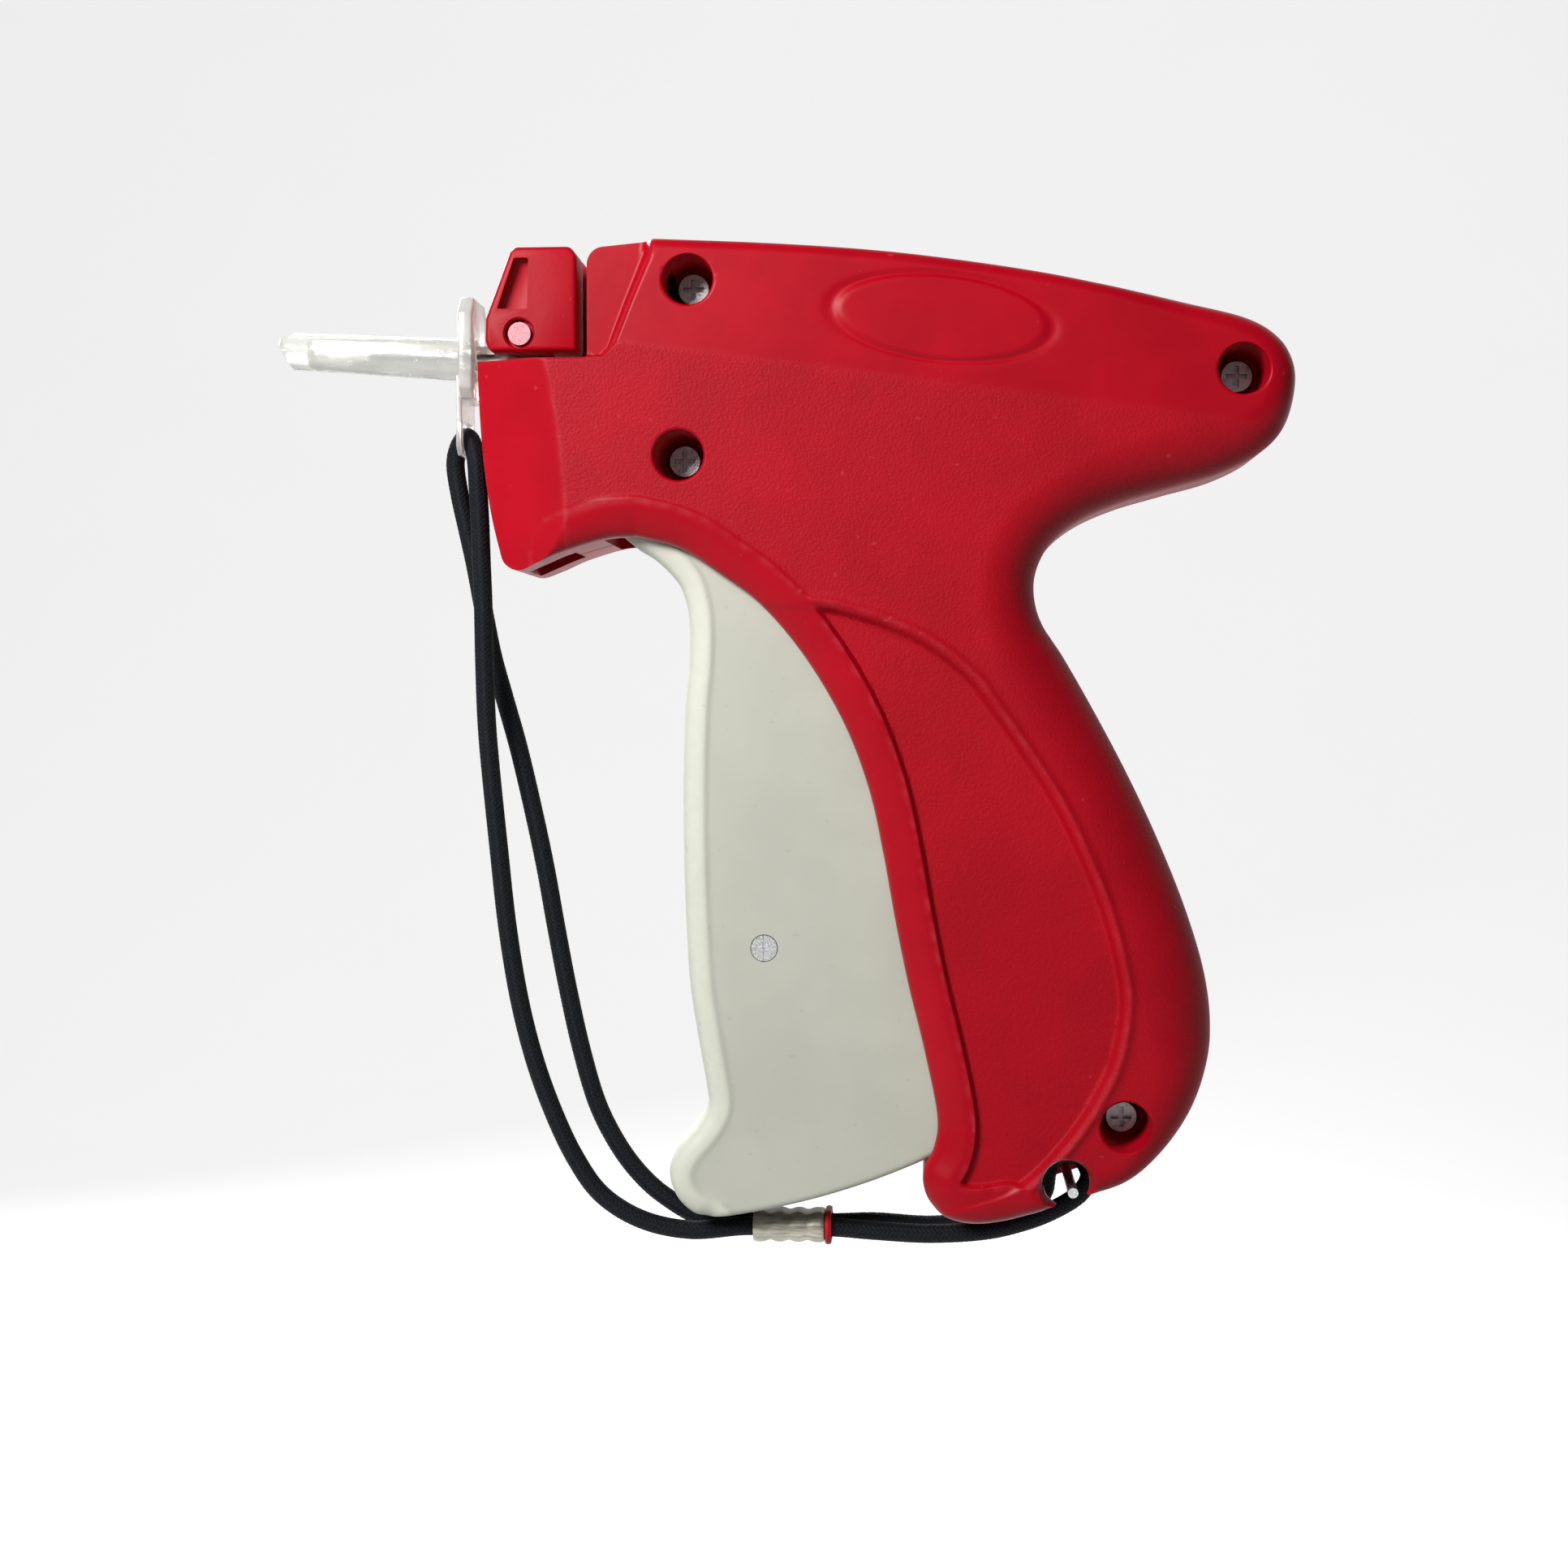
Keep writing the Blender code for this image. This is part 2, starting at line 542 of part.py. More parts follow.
def trigger_hollow(outline):
    """The trigger is a trough open to the rear: this is the space between its sides."""
    inner_radius = TOE_RADIUS - TRIGGER_WALL
    middle = polar_of(RIM[len(RIM) // 2])[1] - 0.25
    front = [point for point in inset(outline, TRIGGER_WALL) if point[0] < -20.0
             and 12.0 < polar_of(point)[0] < inner_radius - 0.5 and polar_of(point)[1] < middle]
    rim = rim_about_pivot()
    start, end = polar_of(front[-1])[1], rim[0][1] + 0.12
    foot = [polar(inner_radius, start + (end - start) * index / 10) for index in range(11)]
    rear = [polar(radius, angle + 0.12 + 3.0 / radius) for radius, angle in rim
            if 12.0 < radius < inner_radius - 2.0]
    return front + foot + rear


def drive_pin(look):
    """The steel pin across the trigger that works in the lever's slot, its slotted head flush with the side."""
    half = TRIGGER_HALF_WIDTH
    piece = cross_pin("trigger_pin", DRIVE_PIN, DRIVE_PIN_RADIUS, -half + 0.1, half - 0.1, PARTS)
    for end in (-1, 1):
        edge = sorted((end * (half - 0.4), end * (half + 1.0)))
        cut(piece, box(f"pin_slot_{end}", (DRIVE_PIN[0] - 0.2, edge[0], DRIVE_PIN[1] - 3.0),
                       (DRIVE_PIN[0] + 0.2, edge[1], DRIVE_PIN[1] + 3.0), CUTTERS))
    move_origin(piece, TRIGGER_PIVOT)
    return finish(piece, look)


def slot_path():
    """Where the trigger's pin lies on the lever as both turn: the centre line of the lever's slot."""
    radius, angle = polar_of(DRIVE_PIN)
    path = []
    for index in range(-1, 12):
        share = index / 10
        pin = Vector(polar(radius, angle + share * TRIGGER_PULL)) - Vector(FULCRUM)
        swing = share * LEVER_SWING
        back = Vector((pin.x * math.cos(swing) + pin.y * math.sin(swing),
                       -pin.x * math.sin(swing) + pin.y * math.cos(swing)))
        path.append(tuple(back + Vector(FULCRUM)))
    return path


def drive_lever(look):
    """A steel plate lever: a slotted lower arm, a hub on the fulcrum and a forked upper arm."""
    thick = LEVER_HALF_THICKNESS
    path = slot_path()
    slot_radius = DRIVE_PIN_RADIUS + 0.25
    piece = prism("drive_lever", [capsule(path, slot_radius + SLOT_RIM)], -thick, thick, PARTS)
    knee = [FULCRUM, fitted(8.5, 38.0), fitted(12.6, 50.0)]
    reach = Vector(SLIDE_REST) - Vector(FULCRUM)
    head = [tuple(Vector(FULCRUM) + reach * share) for share in (0.94, 1.02)]
    fork = [tuple(Vector(FULCRUM) + reach * share) for share in (0.935, 1.12)]
    arms = [([FULCRUM, path[1]], 2.6), ([FULCRUM, path[-2]], 2.6), (smooth_run(knee), 2.8),
            ([knee[-1], head[0]], LEVER_ARM_RADIUS), (head, SLIDE_PIN_RADIUS + FORK_PLAY + 1.5)]
    for index, (way, radius) in enumerate(arms):
        thinner = thick - 0.03 * (index + 1)
        join(piece, prism(f"lever_arm_{index}", [capsule(way, radius)], -thinner, thinner, CUTTERS))
    join(piece, cross_pin("lever_hub", FULCRUM, LEVER_HUB_RADIUS, -LEVER_HUB_HALF_WIDTH, LEVER_HUB_HALF_WIDTH,
                          CUTTERS))
    cut(piece, prism("lever_slot", [capsule(path, slot_radius)], -thick - 1, thick + 1, CUTTERS),
        prism("lever_fork", [capsule(fork, SLIDE_PIN_RADIUS + FORK_PLAY)], -thick - 1, thick + 1, CUTTERS),
        cross_pin("lever_bore", FULCRUM, PIN_RADIUS + PIN_PLAY, -6.0, 6.0, CUTTERS))
    move_origin(piece, FULCRUM)
    return finish(piece, look)


def pusher_slide(look):
    """The carriage that the lever drives along the barrel, slotted below for the lever's fork."""
    place = SLIDE_REST[0]
    half, high = SLIDE_HALF_WIDTH, SLIDE_HALF_HEIGHT
    piece = box("pusher_slide", (place + SLIDE_LENGTH[0], -half, NEEDLE_Z - high),
                (place + SLIDE_LENGTH[1], half, NEEDLE_Z + high), PARTS)
    slot = LEVER_HALF_THICKNESS + 0.4
    cut(piece,
        box("slide_slot", (place - 5.6, -slot, NEEDLE_Z - 9.0), (place + 5.9, slot, NEEDLE_Z + 9.0), CUTTERS),
        rod_along_x("slide_bore", place - 9.0, place - 5.0, PUSHER_RADIUS + 0.12, CUTTERS),
        cross_pin("slide_pin_bore", SLIDE_REST, SLIDE_PIN_RADIUS + 0.15, -8.0, 8.0, CUTTERS))
    return finish(piece, look, smooth=False)


def slide_pin(look):
    half = SLIDE_HALF_WIDTH - 0.1
    return finish(cross_pin("slide_pin", SLIDE_REST, SLIDE_PIN_RADIUS, -half, half, PARTS), look)


def pusher_rod(look):
    """The thin rod that pushes one fastener's bar through the needle."""
    front = CLIP_CHANNEL[1] + 0.2
    rear = SLIDE_REST[0] + SLIDE_LENGTH[0] + 1.8
    return finish(rod_along_x("pusher_rod", front, rear, PUSHER_RADIUS, PARTS, sides=12), look)


def return_spring(look):
    """A compression spring round the rod, between the casing's rib and the slide."""
    coil, wire, turns, each = 2.2, 0.35, 14, 10
    front, rear = -27.9 + wire, SLIDE_REST[0] + SLIDE_LENGTH[0] - FIT - wire
    curve = bpy.data.curves.new("return_spring", "CURVE")
    curve.dimensions = "3D"
    curve.bevel_depth = wire * MM
    curve.bevel_resolution = 1
    curve.use_fill_caps = True
    spline = curve.splines.new("POLY")
    spline.points.add(turns * each)
    for index, point in enumerate(spline.points):
        angle = 2 * math.pi * index / each
        along = front + (rear - front) * index / (turns * each)
        point.co = (along * MM, coil * math.cos(angle) * MM, (NEEDLE_Z + coil * math.sin(angle)) * MM, 1.0)
    return finish(add("return_spring", curve, PARTS), look, smooth=False)


# Fastener feed

def clip_guide(look):
    """The channel that the fastener clip slides down, closed to the rear but for the pusher's hole."""
    across = CLIP_CHANNEL_HALF_WIDTH
    piece = box("clip_guide", (HEAD_FRONT_X + 2.0 + FIT, -4.0, 66.3), (-41.3, 4.0, 83.8), PARTS)
    cut(piece, box("guide_channel", (-60.0, -across, 60.0), (CLIP_CHANNEL[1], across, 95.0), CUTTERS),
        rod_along_x("guide_hole", -50.0, -38.0, PUSHER_RADIUS + 0.2, CUTTERS),
        box("pawl_window", (-50.0, -1.2, 75.2), (-38.0, 1.2, 78.6), CUTTERS))
    return finish(piece, look, smooth=False)


def feed_pawl(look):
    """The finger that holds the clip's next bar in line with the needle."""
    piece = prism("feed_pawl", [[(-40.9, 83.2), (-40.9, 77.7), (-44.0, 76.9), (-44.0, 76.4), (-40.9, 76.2),
                                 (-40.9, 75.6), (-39.0, 75.6), (-38.5, 81.0), (-38.5, 83.2)]], -0.8, 0.8, PARTS)
    cut(piece, cross_pin("pawl_bore", PAWL_PIVOT, 0.75, -2.0, 2.0, CUTTERS, 12))
    move_origin(piece, PAWL_PIVOT)
    return finish(piece, look, smooth=False)


# Needle and its lock

def needle(look):
    """A hollow steel needle, slotted along its left side and ground to a point."""
    rear = -59.2
    piece = rod_along_x("needle", NEEDLE_TIP_X, rear, NEEDLE_RADIUS, PARTS, sides=20)
    tip = box("needle_point", (-6.0, -3.0, 0.0), (6.0, 3.0, 5.0), CUTTERS)
    tip.rotation_euler = (0.0, math.radians(-24.0), 0.0)
    tip.location = (NEEDLE_TIP_X * MM, 0.0, (NEEDLE_Z - 0.75) * MM)
    cut(piece, rod_along_x("needle_bore", NEEDLE_TIP_X - 1, rear + 1, NEEDLE_BORE, CUTTERS),
        box("needle_slot", (NEEDLE_TIP_X - 1, -3.0, NEEDLE_Z - 0.35),
            (rear + 1, 0.0, NEEDLE_Z + 0.35), CUTTERS),
        tip)
    return finish(piece, look)


def needle_hub(look):
    """The plastic collar that carries the needle, seated in front of the carrier."""
    low, high = -65.6, -60.2 - FIT
    piece = rod_along_x("needle_hub", low, high, HUB_RADIUS, PARTS, sides=24)
    cut(piece, rod_along_x("hub_bore", low - 1, high + 1, NEEDLE_RADIUS + 0.1, CUTTERS),
        box("hub_slot", (low - 1, -4.0, NEEDLE_Z - 0.4), (high + 1, 0.0, NEEDLE_Z + 0.4), CUTTERS))
    return finish(piece, look)


def needle_carrier(look):
    """The block in the nose that takes the needle's rear end and the lock's pin."""
    piece = box("needle_carrier", (-60.2, -3.2, 62.5), (-54.6, 3.2, 76.7), PARTS)
    cut(piece, rod_along_x("carrier_needle_bore", -61.0, -58.9, NEEDLE_RADIUS + 0.12, CUTTERS),
        rod_along_x("carrier_bore", -61.0, -50.0, PUSHER_RADIUS + 0.2, CUTTERS),
        box("carrier_slot", (-61.0, -5.0, NEEDLE_Z - 0.35), (-50.0, 0.0, NEEDLE_Z + 0.35), CUTTERS),
        cross_pin("carrier_pin_bore", LOCK_PIN, LOCK_PIN_RADIUS + PIN_PLAY, -5.0, 5.0, CUTTERS))
    return finish(piece, look, smooth=False)


def cutter_blade(look):
    """The small blade behind the carrier that parts each fastener from its clip."""
    outline = [(-54.3, 73.4), (-54.3, 76.0), (-53.8, 76.0), (-53.8, 74.2)]
    return finish(prism("cutter_blade", [outline], -3.0, 3.0, PARTS), look, smooth=False)


def needle_lock(look):
    """The block over the needle's rear end, which tips forward on its pin to free the needle."""
    half = LOCK_HALF_WIDTH
    piece = prism("needle_lock", [[
        (-62.5, 76.5), (-62.6, 73.4), (-62.0, LOCK_BOTTOM_Z), (HEAD_FRONT_X - 1.7, LOCK_BOTTOM_Z),
        (HEAD_FRONT_X - 1.7, 85.6), (-50.2, LOCK_TOP_Z), (-58.2, LOCK_TOP_Z), (-58.9, 86.1)]],
                  -half, half, PARTS, 0.5)
    across = CLIP_CHANNEL_HALF_WIDTH
    tools = [box("lock_pocket", (-61.6, -3.6, 60.0), (CLIP_CHANNEL[0] + 0.2, 3.6, 78.8), CUTTERS),
             box("lock_hub_way", (-66.0, -2.4, 60.0), (-60.0, 2.4, 75.8), CUTTERS),
             box("lock_channel", (CLIP_CHANNEL[0], -across, 60.0), (-40.0, across, 95.0), CUTTERS),
             cross_pin("lock_bore", LOCK_PIN, LOCK_PIN_RADIUS + PIN_PLAY, -9.0, 9.0, CUTTERS)]
    window = [(-58.3, 85.2), (-56.2, 85.2), (-56.4, 77.8), (-60.8, 77.9)]
    for side in (-1, 1):
        ends = sorted((side * (half - 1.8), side * (half + 1.0)))
        tools.append(prism(f"lock_window_{side}", [window], *ends, CUTTERS))
        ends = sorted((side * (half - 1.3), side * (half + 1.0)))
        tools.append(cross_pin(f"lock_head_seat_{side}", LOCK_PIN, LOCK_HEAD_RADIUS + 0.35, *ends, CUTTERS))
    cut(piece, *tools)
    move_origin(piece, LOCK_PIN)
    return finish(piece, look)


def lock_pin(look):
    half = LOCK_HALF_WIDTH - 0.35
    piece = cross_pin("needle_lock_pin", LOCK_PIN, LOCK_PIN_RADIUS, -half + 0.4, half - 0.4, PARTS)
    for side in (-1, 1):
        ends = sorted((side * (LOCK_HALF_WIDTH - 1.15), side * half))
        join(piece, cross_pin(f"lock_head_{side}", LOCK_PIN, LOCK_HEAD_RADIUS, *ends, CUTTERS))
    return finish(piece, look)


# Needle guard

def needle_guard(look):
    """A clear tube over the needle, tipped slightly up, with a flange at its base and a tab for the cord."""
    profile = [(0.0, GUARD_LENGTH), (GUARD_TIP_RADIUS, GUARD_LENGTH), (GUARD_BASE_RADIUS, 0.6),
               (GUARD_BASE_RADIUS + 0.6, 0.0), (GUARD_BASE_RADIUS + 0.6, -1.2), (GUARD_BASE_BORE, -1.2),
               (GUARD_TIP_BORE, GUARD_LENGTH - GUARD_END_WALL), (0.0, GUARD_LENGTH - GUARD_END_WALL)]
    mesh = bpy.data.meshes.new("needle_guard")
    points = [(radius * MM, 0.0, along * MM) for radius, along in profile]
    mesh.from_pydata(points, [(index, index + 1) for index in range(len(points) - 1)], [])
    piece = add("needle_guard", mesh, PARTS)
    turned = piece.modifiers.new("turned", "SCREW")
    turned.axis = "Z"
    turned.steps = turned.render_steps = 28
    turned.use_merge_vertices = True
    turned.merge_threshold = 0.00001
    place = Vector((GUARD_BASE[0], 0.0, GUARD_BASE[1])) * MM
    piece.rotation_euler = (0.0, -math.pi / 2 + GUARD_TILT, 0.0)
    piece.location = place
    flange = prism_along_x("guard_flange", [[(-6.2, 67.0), (-4.5, 65.5), (4.5, 65.5), (6.2, 67.0), (6.2, 78.0),
                                             (4.0, 80.4), (-4.0, 80.4), (-6.2, 78.0)]], -67.1, -65.0, CUTTERS)
    tab = prism_along_x("guard_tab", [[(-5.0, 58.6), (-3.8, 57.3), (3.8, 57.3), (5.0, 58.6), (5.0, 69.0),
                                       (-5.0, 69.0)]], *TAB_X, CUTTERS)
    join(piece, flange, tab)
    along = Vector((-math.cos(GUARD_TILT), 0.0, math.sin(GUARD_TILT)))
    base = Vector((GUARD_BASE[0], 0.0, GUARD_BASE[1]))
    bore = cone("guard_bore", base - along * 4, base + along * 2,
                GUARD_BASE_BORE + 0.07, GUARD_BASE_BORE - 0.04,
                CUTTERS)
    slot_low, slot_high = TAB_SLOT_Z - CORD_RADIUS - 0.75, TAB_SLOT_Z + CORD_RADIUS + 0.7
    slot = box("cord_slot", (-70.0, -CORD_RADIUS - 2.1, slot_low),
               (-60.0, CORD_RADIUS + 2.1, slot_high), CUTTERS)
    bevel = box("tip_bevel", (-8.0, -6.0, 0.0), (8.0, 6.0, 8.0), CUTTERS)
    bevel.rotation_euler = (0.0, math.radians(-27.0), 0.0)
    bevel.location = Vector((-94.0, 0.0, 75.15)) * MM
    end = box("tip_end", (-8.0, -6.0, -8.0), (0.0, 6.0, 8.0), CUTTERS)
    end.rotation_euler = (0.0, math.radians(-28.0), 0.0)
    end.location = Vector((-94.1, 0.0, 72.8)) * MM
    cut(piece, bore, slot, bevel, end)
    return finish(piece, look)


# Wrist cord

FRONT_X = TAB_X[0] - CORD_RADIUS - 0.35  # the strand that hangs in front of the guard's tab
BACK_X = TAB_X[1] + CORD_RADIUS + 0.4  # and the one between the tab and the nose
CORD_FRONT = [
    (FERRULE_X[0] + 4.9, -STRAND_Y, -56.8), (FERRULE_X[0] - 1.5, -STRAND_Y, -56.8),
    (-33.5, -2.0, -57.4), (-40.7, -2.3, -55.9), (-46.7, -2.5, -52.2), (-50.7, -2.7, -46.6),
    (-54.0, -2.9, -39.5), (-56.8, -3.0, -31.5), (-59.0, -3.0, -22.5), (-60.7, -3.0, -11.8), (-61.9, -3.0, -0.5),
    (-63.0, -3.0, 10.5), (-63.6, -3.0, 18.0), (-63.9, -3.0, 26.5), (-64.05, -3.0, 35.0), (-64.3, -3.0, 42.0),
    (-64.5, -3.0, 48.0), (-64.75, -3.0, 52.5), (BACK_X, -3.0, 56.6), (BACK_X - 0.75, -2.1, 59.3),
    (-67.1, 0.0, 60.4), (FRONT_X + 0.75, 2.1, 59.3), (FRONT_X, 3.0, 56.6), (-68.7, 3.0, 52.0),
    (-67.6, 3.0, 47.0), (-66.4, 3.0, 41.5), (-65.2, 3.0, 35.0), (-63.8, 3.0, 28.0), (-62.0, 3.0, 21.5),
    (-59.9, 3.0, 14.0), (-57.7, 3.0, 4.6), (-55.9, 3.0, -4.0), (-54.3, 3.0, -13.0), (-52.6, 3.0, -22.0),
    (-50.6, 2.9, -31.0), (-48.2, 2.8, -39.2), (-45.2, 2.6, -45.2), (-41.8, 2.5, -49.8), (-37.8, 2.3, -53.3),
    (-32.2, 2.0, -56.3), (FERRULE_X[0] - 1.5, STRAND_Y, -56.8), (FERRULE_X[0] + 4.9, STRAND_Y, -56.8)]
CORD_REAR = [
    (FERRULE_X[1] - 4.9, -STRAND_Y, -56.8), (FERRULE_X[1] + 1.5, -STRAND_Y, -56.8),
    (-6.0, -1.7, -57.2), (2.0, -1.8, -57.5), (10.0, -1.9, -56.9), (16.0, -2.0, -55.4), (20.5, -2.0, -53.5),
    (24.0, -1.8, -51.2), (25.45, -1.2, -48.6), (24.3, -0.3, -46.3), (22.3, 0.3, -45.6), (20.2, 1.0, -46.5),
    (19.4, 1.6, -48.9), (18.7, 1.9, -52.2), (15.4, 2.0, -55.0), (10.0, 1.9, -56.2), (2.0, 1.8, -57.0),
    (-6.0, 1.7, -56.6), (FERRULE_X[1] + 1.5, STRAND_Y, -56.8), (FERRULE_X[1] - 4.9, STRAND_Y, -56.8)]


def cord_curve(name, route, look):
    """A cord along a smooth curve through its route, with a point about every two diameters."""
    points = smooth_run_3d([(x, y, fitted(NECK_X, z)[1]) for x, y, z in route])
    curve = bpy.data.curves.new(name, "CURVE")
    curve.dimensions = "3D"
    curve.bevel_depth = CORD_RADIUS * MM
    curve.bevel_resolution = 2
    curve.use_fill_caps = True
    spline = curve.splines.new("POLY")
    spline.points.add(len(points) - 1)
    for point, place in zip(spline.points, points):
        point.co = (*(Vector(place) * MM), 1.0)
    return finish(add(name, curve, PARTS), look, smooth=False)


def smooth_run_3d(route):
    """Points on a Catmull-Rom curve through the route, closer together where it turns."""
    spots = [Vector(place) for place in route]
    spots = [2 * spots[0] - spots[1]] + spots + [2 * spots[-1] - spots[-2]]
    points = []
    for before, start, end, after in zip(spots, spots[1:], spots[2:], spots[3:]):
        pieces = max(1, round((end - start).length / CORD_STEP))
        turning = (start - before).angle(end - start) + (end - start).angle(after - end)
        pieces = max(pieces, round(turning / 0.6))
        for index in range(pieces):
            t = index / pieces
            points.append(0.5 * (2 * start + (end - before) * t
                                 + (2 * before - 5 * start + 4 * end - after) * t ** 2
                                 + (3 * start - before - 3 * end + after) * t ** 3))
    return points + [spots[-2]]


def rounded_bar(half_width, half_height, middle):
    """A flat round-ended outline in the YZ plane."""
    flat = half_width - half_height
    return (arc((flat, middle), half_height, -math.pi / 2, math.pi / 2, 8)
            + arc((-flat, middle), half_height, math.pi / 2, 3 * math.pi / 2, 8))


def cord_ferrule(look):
    """The crimped sleeve in which the ends of both loops meet."""
    outer = rounded_bar(STRAND_Y + CORD_RADIUS + 0.3 + FERRULE_WALL,
                        CORD_RADIUS + 0.5 + FERRULE_WALL, FERRULE_Z)
    inner = rounded_bar(STRAND_Y + CORD_RADIUS + 0.3, CORD_RADIUS + 0.5, FERRULE_Z)
    return finish(prism_along_x("cord_ferrule", [outer, inner], *FERRULE_X, PARTS), look)


def ferrule_ring(look):
    """The red band behind the sleeve."""
    outer = rounded_bar(STRAND_Y + CORD_RADIUS + 1.0, CORD_RADIUS + 1.2, FERRULE_Z)
    inner = rounded_bar(STRAND_Y + CORD_RADIUS + 0.3, CORD_RADIUS + 0.5, FERRULE_Z)
    low = FERRULE_X[1] + 0.15
    return finish(prism_along_x("ferrule_ring", [outer, inner], low, low + 0.9, PARTS), look)


def build():
    red = material("red_abs", RED, 0.38)
    cream = material("cream_abs", CREAM, 0.42)
    clear = material("clear_plastic", (0.85, 0.85, 0.82), 0.15, alpha=0.35)
    steel = material("steel", STEEL, 0.3, 1.0)
    black = material("black_cord", BLACK, 0.8)
    acetal = material("acetal", (0.75, 0.74, 0.70), 0.35)
    khaki = material("khaki_ferrule", (0.30, 0.28, 0.22), 0.45, 0.6)

    cavity = casing_cavity()
    cutters = casing_cutters()
    for side in (-1, 1):
        shell(side, cavity, cutters, red)
    for index, place in enumerate(SCREWS):
        casing_screw(index + 1, place, steel)
    for name, place, radius in (("trigger_pivot_pin", TRIGGER_PIVOT, PIN_RADIUS),
                                ("lever_fulcrum_pin", FULCRUM, PIN_RADIUS)):
        finish(cross_pin(name, place, radius, -11.0, 11.0, PARTS), steel)
    finish(cross_pin("pawl_pin", PAWL_PIVOT, 0.65, -8.3, 8.3, PARTS, 12), steel)
    finish(cross_pin("lanyard_pin", LANYARD_PIN, LANYARD_PIN_RADIUS, -10.8, 10.8, PARTS, 16), steel)
    trigger(cream)
    drive_pin(steel)
    drive_lever(steel)
    pusher_slide(acetal)
    slide_pin(steel)
    pusher_rod(steel)
    return_spring(steel)
    clip_guide(acetal)
    feed_pawl(steel)
    needle(steel)
    needle_hub(acetal)
    needle_carrier(acetal)
    cutter_blade(steel)
    needle_lock(red)
    lock_pin(steel)
    needle_guard(clear)
    cord_curve("cord_front_loop", CORD_FRONT, black)
    cord_curve("cord_rear_loop", CORD_REAR, black)
    cord_ferrule(khaki)
    ferrule_ring(red)


clear_scene()
PARTS = new_collection("tagging_gun")
CUTTERS = new_collection("cutters", hidden=True)
build()
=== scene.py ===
"""Garment tagging gun: the finished look of every piece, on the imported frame.

All shapes are worked out in millimetres as numpy grids and go into the meshes in metres. The mid-plane is
y = 0, the needle points to -x and z is up, so an outline is a list of (x, z) points.
"""

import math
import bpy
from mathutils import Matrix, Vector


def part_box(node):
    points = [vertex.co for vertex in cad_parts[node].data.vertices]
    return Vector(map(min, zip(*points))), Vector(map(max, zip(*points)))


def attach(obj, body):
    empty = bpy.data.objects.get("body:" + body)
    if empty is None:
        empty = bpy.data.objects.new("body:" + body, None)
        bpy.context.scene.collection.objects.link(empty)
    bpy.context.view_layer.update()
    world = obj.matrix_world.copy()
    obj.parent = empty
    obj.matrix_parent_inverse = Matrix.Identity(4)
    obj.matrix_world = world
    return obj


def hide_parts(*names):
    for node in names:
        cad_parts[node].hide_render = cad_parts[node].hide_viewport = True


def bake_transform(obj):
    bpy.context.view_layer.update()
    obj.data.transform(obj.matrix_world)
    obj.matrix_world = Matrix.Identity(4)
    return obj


bl_info = {
    "name": "Garment Tagging Gun",
    "version": (1, 0, 0),
    "blender": (4, 5, 0),
    "location": "3D View > Sidebar > Tagging Gun",
    "description": "Builds a pistol-shaped garment tagging gun with its needle guard and wrist cord",
    "category": "Add Mesh",
}

import bmesh
import bpy
import numpy as np
from mathutils import Matrix, Vector

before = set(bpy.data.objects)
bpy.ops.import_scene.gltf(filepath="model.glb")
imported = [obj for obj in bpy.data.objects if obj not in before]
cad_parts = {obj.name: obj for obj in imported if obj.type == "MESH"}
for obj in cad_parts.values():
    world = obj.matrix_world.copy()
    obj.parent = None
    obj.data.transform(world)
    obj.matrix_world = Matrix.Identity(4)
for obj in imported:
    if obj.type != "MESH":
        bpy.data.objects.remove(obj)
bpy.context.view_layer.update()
MM = 0.001
HALF_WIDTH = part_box("right_shell")[1].y / MM
PIVOT = np.array([-43.0, 50.0])


# Curves

def smooth_run(knots, step=0.5):
    """A Catmull-Rom curve: a point between two knots is the cubic blend of them and their two neighbours."""
    knots = np.asarray(knots, float)
    knots = np.vstack([2 * knots[0] - knots[1], knots, 2 * knots[-1] - knots[-2]])
    runs = []
    for a, b, c, d in zip(knots, knots[1:], knots[2:], knots[3:]):
        count = max(1, math.ceil(np.linalg.norm(c - b) / step))
        t = np.arange(count)[:, None] / count
        runs.append(0.5 * (2 * b + (c - a) * t + (2 * a - 5 * b + 4 * c - d) * t ** 2
                           + (3 * b - a - 3 * c + d) * t ** 3))
    return np.vstack(runs + [knots[-2:-1]])


def arc(centre, radius, start, end, count):
    """Points at one radius from a centre, at evenly spaced angles from +x towards +z."""
    angle = np.radians(np.linspace(start, end, count + 1))
    return np.stack([centre[0] + radius * np.cos(angle), centre[1] + radius * np.sin(angle)], axis=1)


def lengths(path):
    """The distance along a path at each of its points: the running sum of its steps."""
    return np.concatenate([[0.0], np.cumsum(np.linalg.norm(np.diff(path, axis=0), axis=1))])


def spaced(path, count):
    """count + 1 points at even distances along a path."""
    along = lengths(path)
    at = np.linspace(0.0, along[-1], count + 1)
    return np.stack([np.interp(at, along, column) for column in path.T], axis=1)


def about_pivot(points):
    """Each point as its distance from the trigger's pivot and its angle from straight down towards +x."""
    x, z = points[:, 0] - PIVOT[0], PIVOT[1] - points[:, 1]
    return np.hypot(x, z), np.arctan2(x, z)


def from_pivot(radius, angle):
    return np.stack([PIVOT[0] + radius * np.sin(angle), PIVOT[1] - radius * np.cos(angle)], axis=-1)


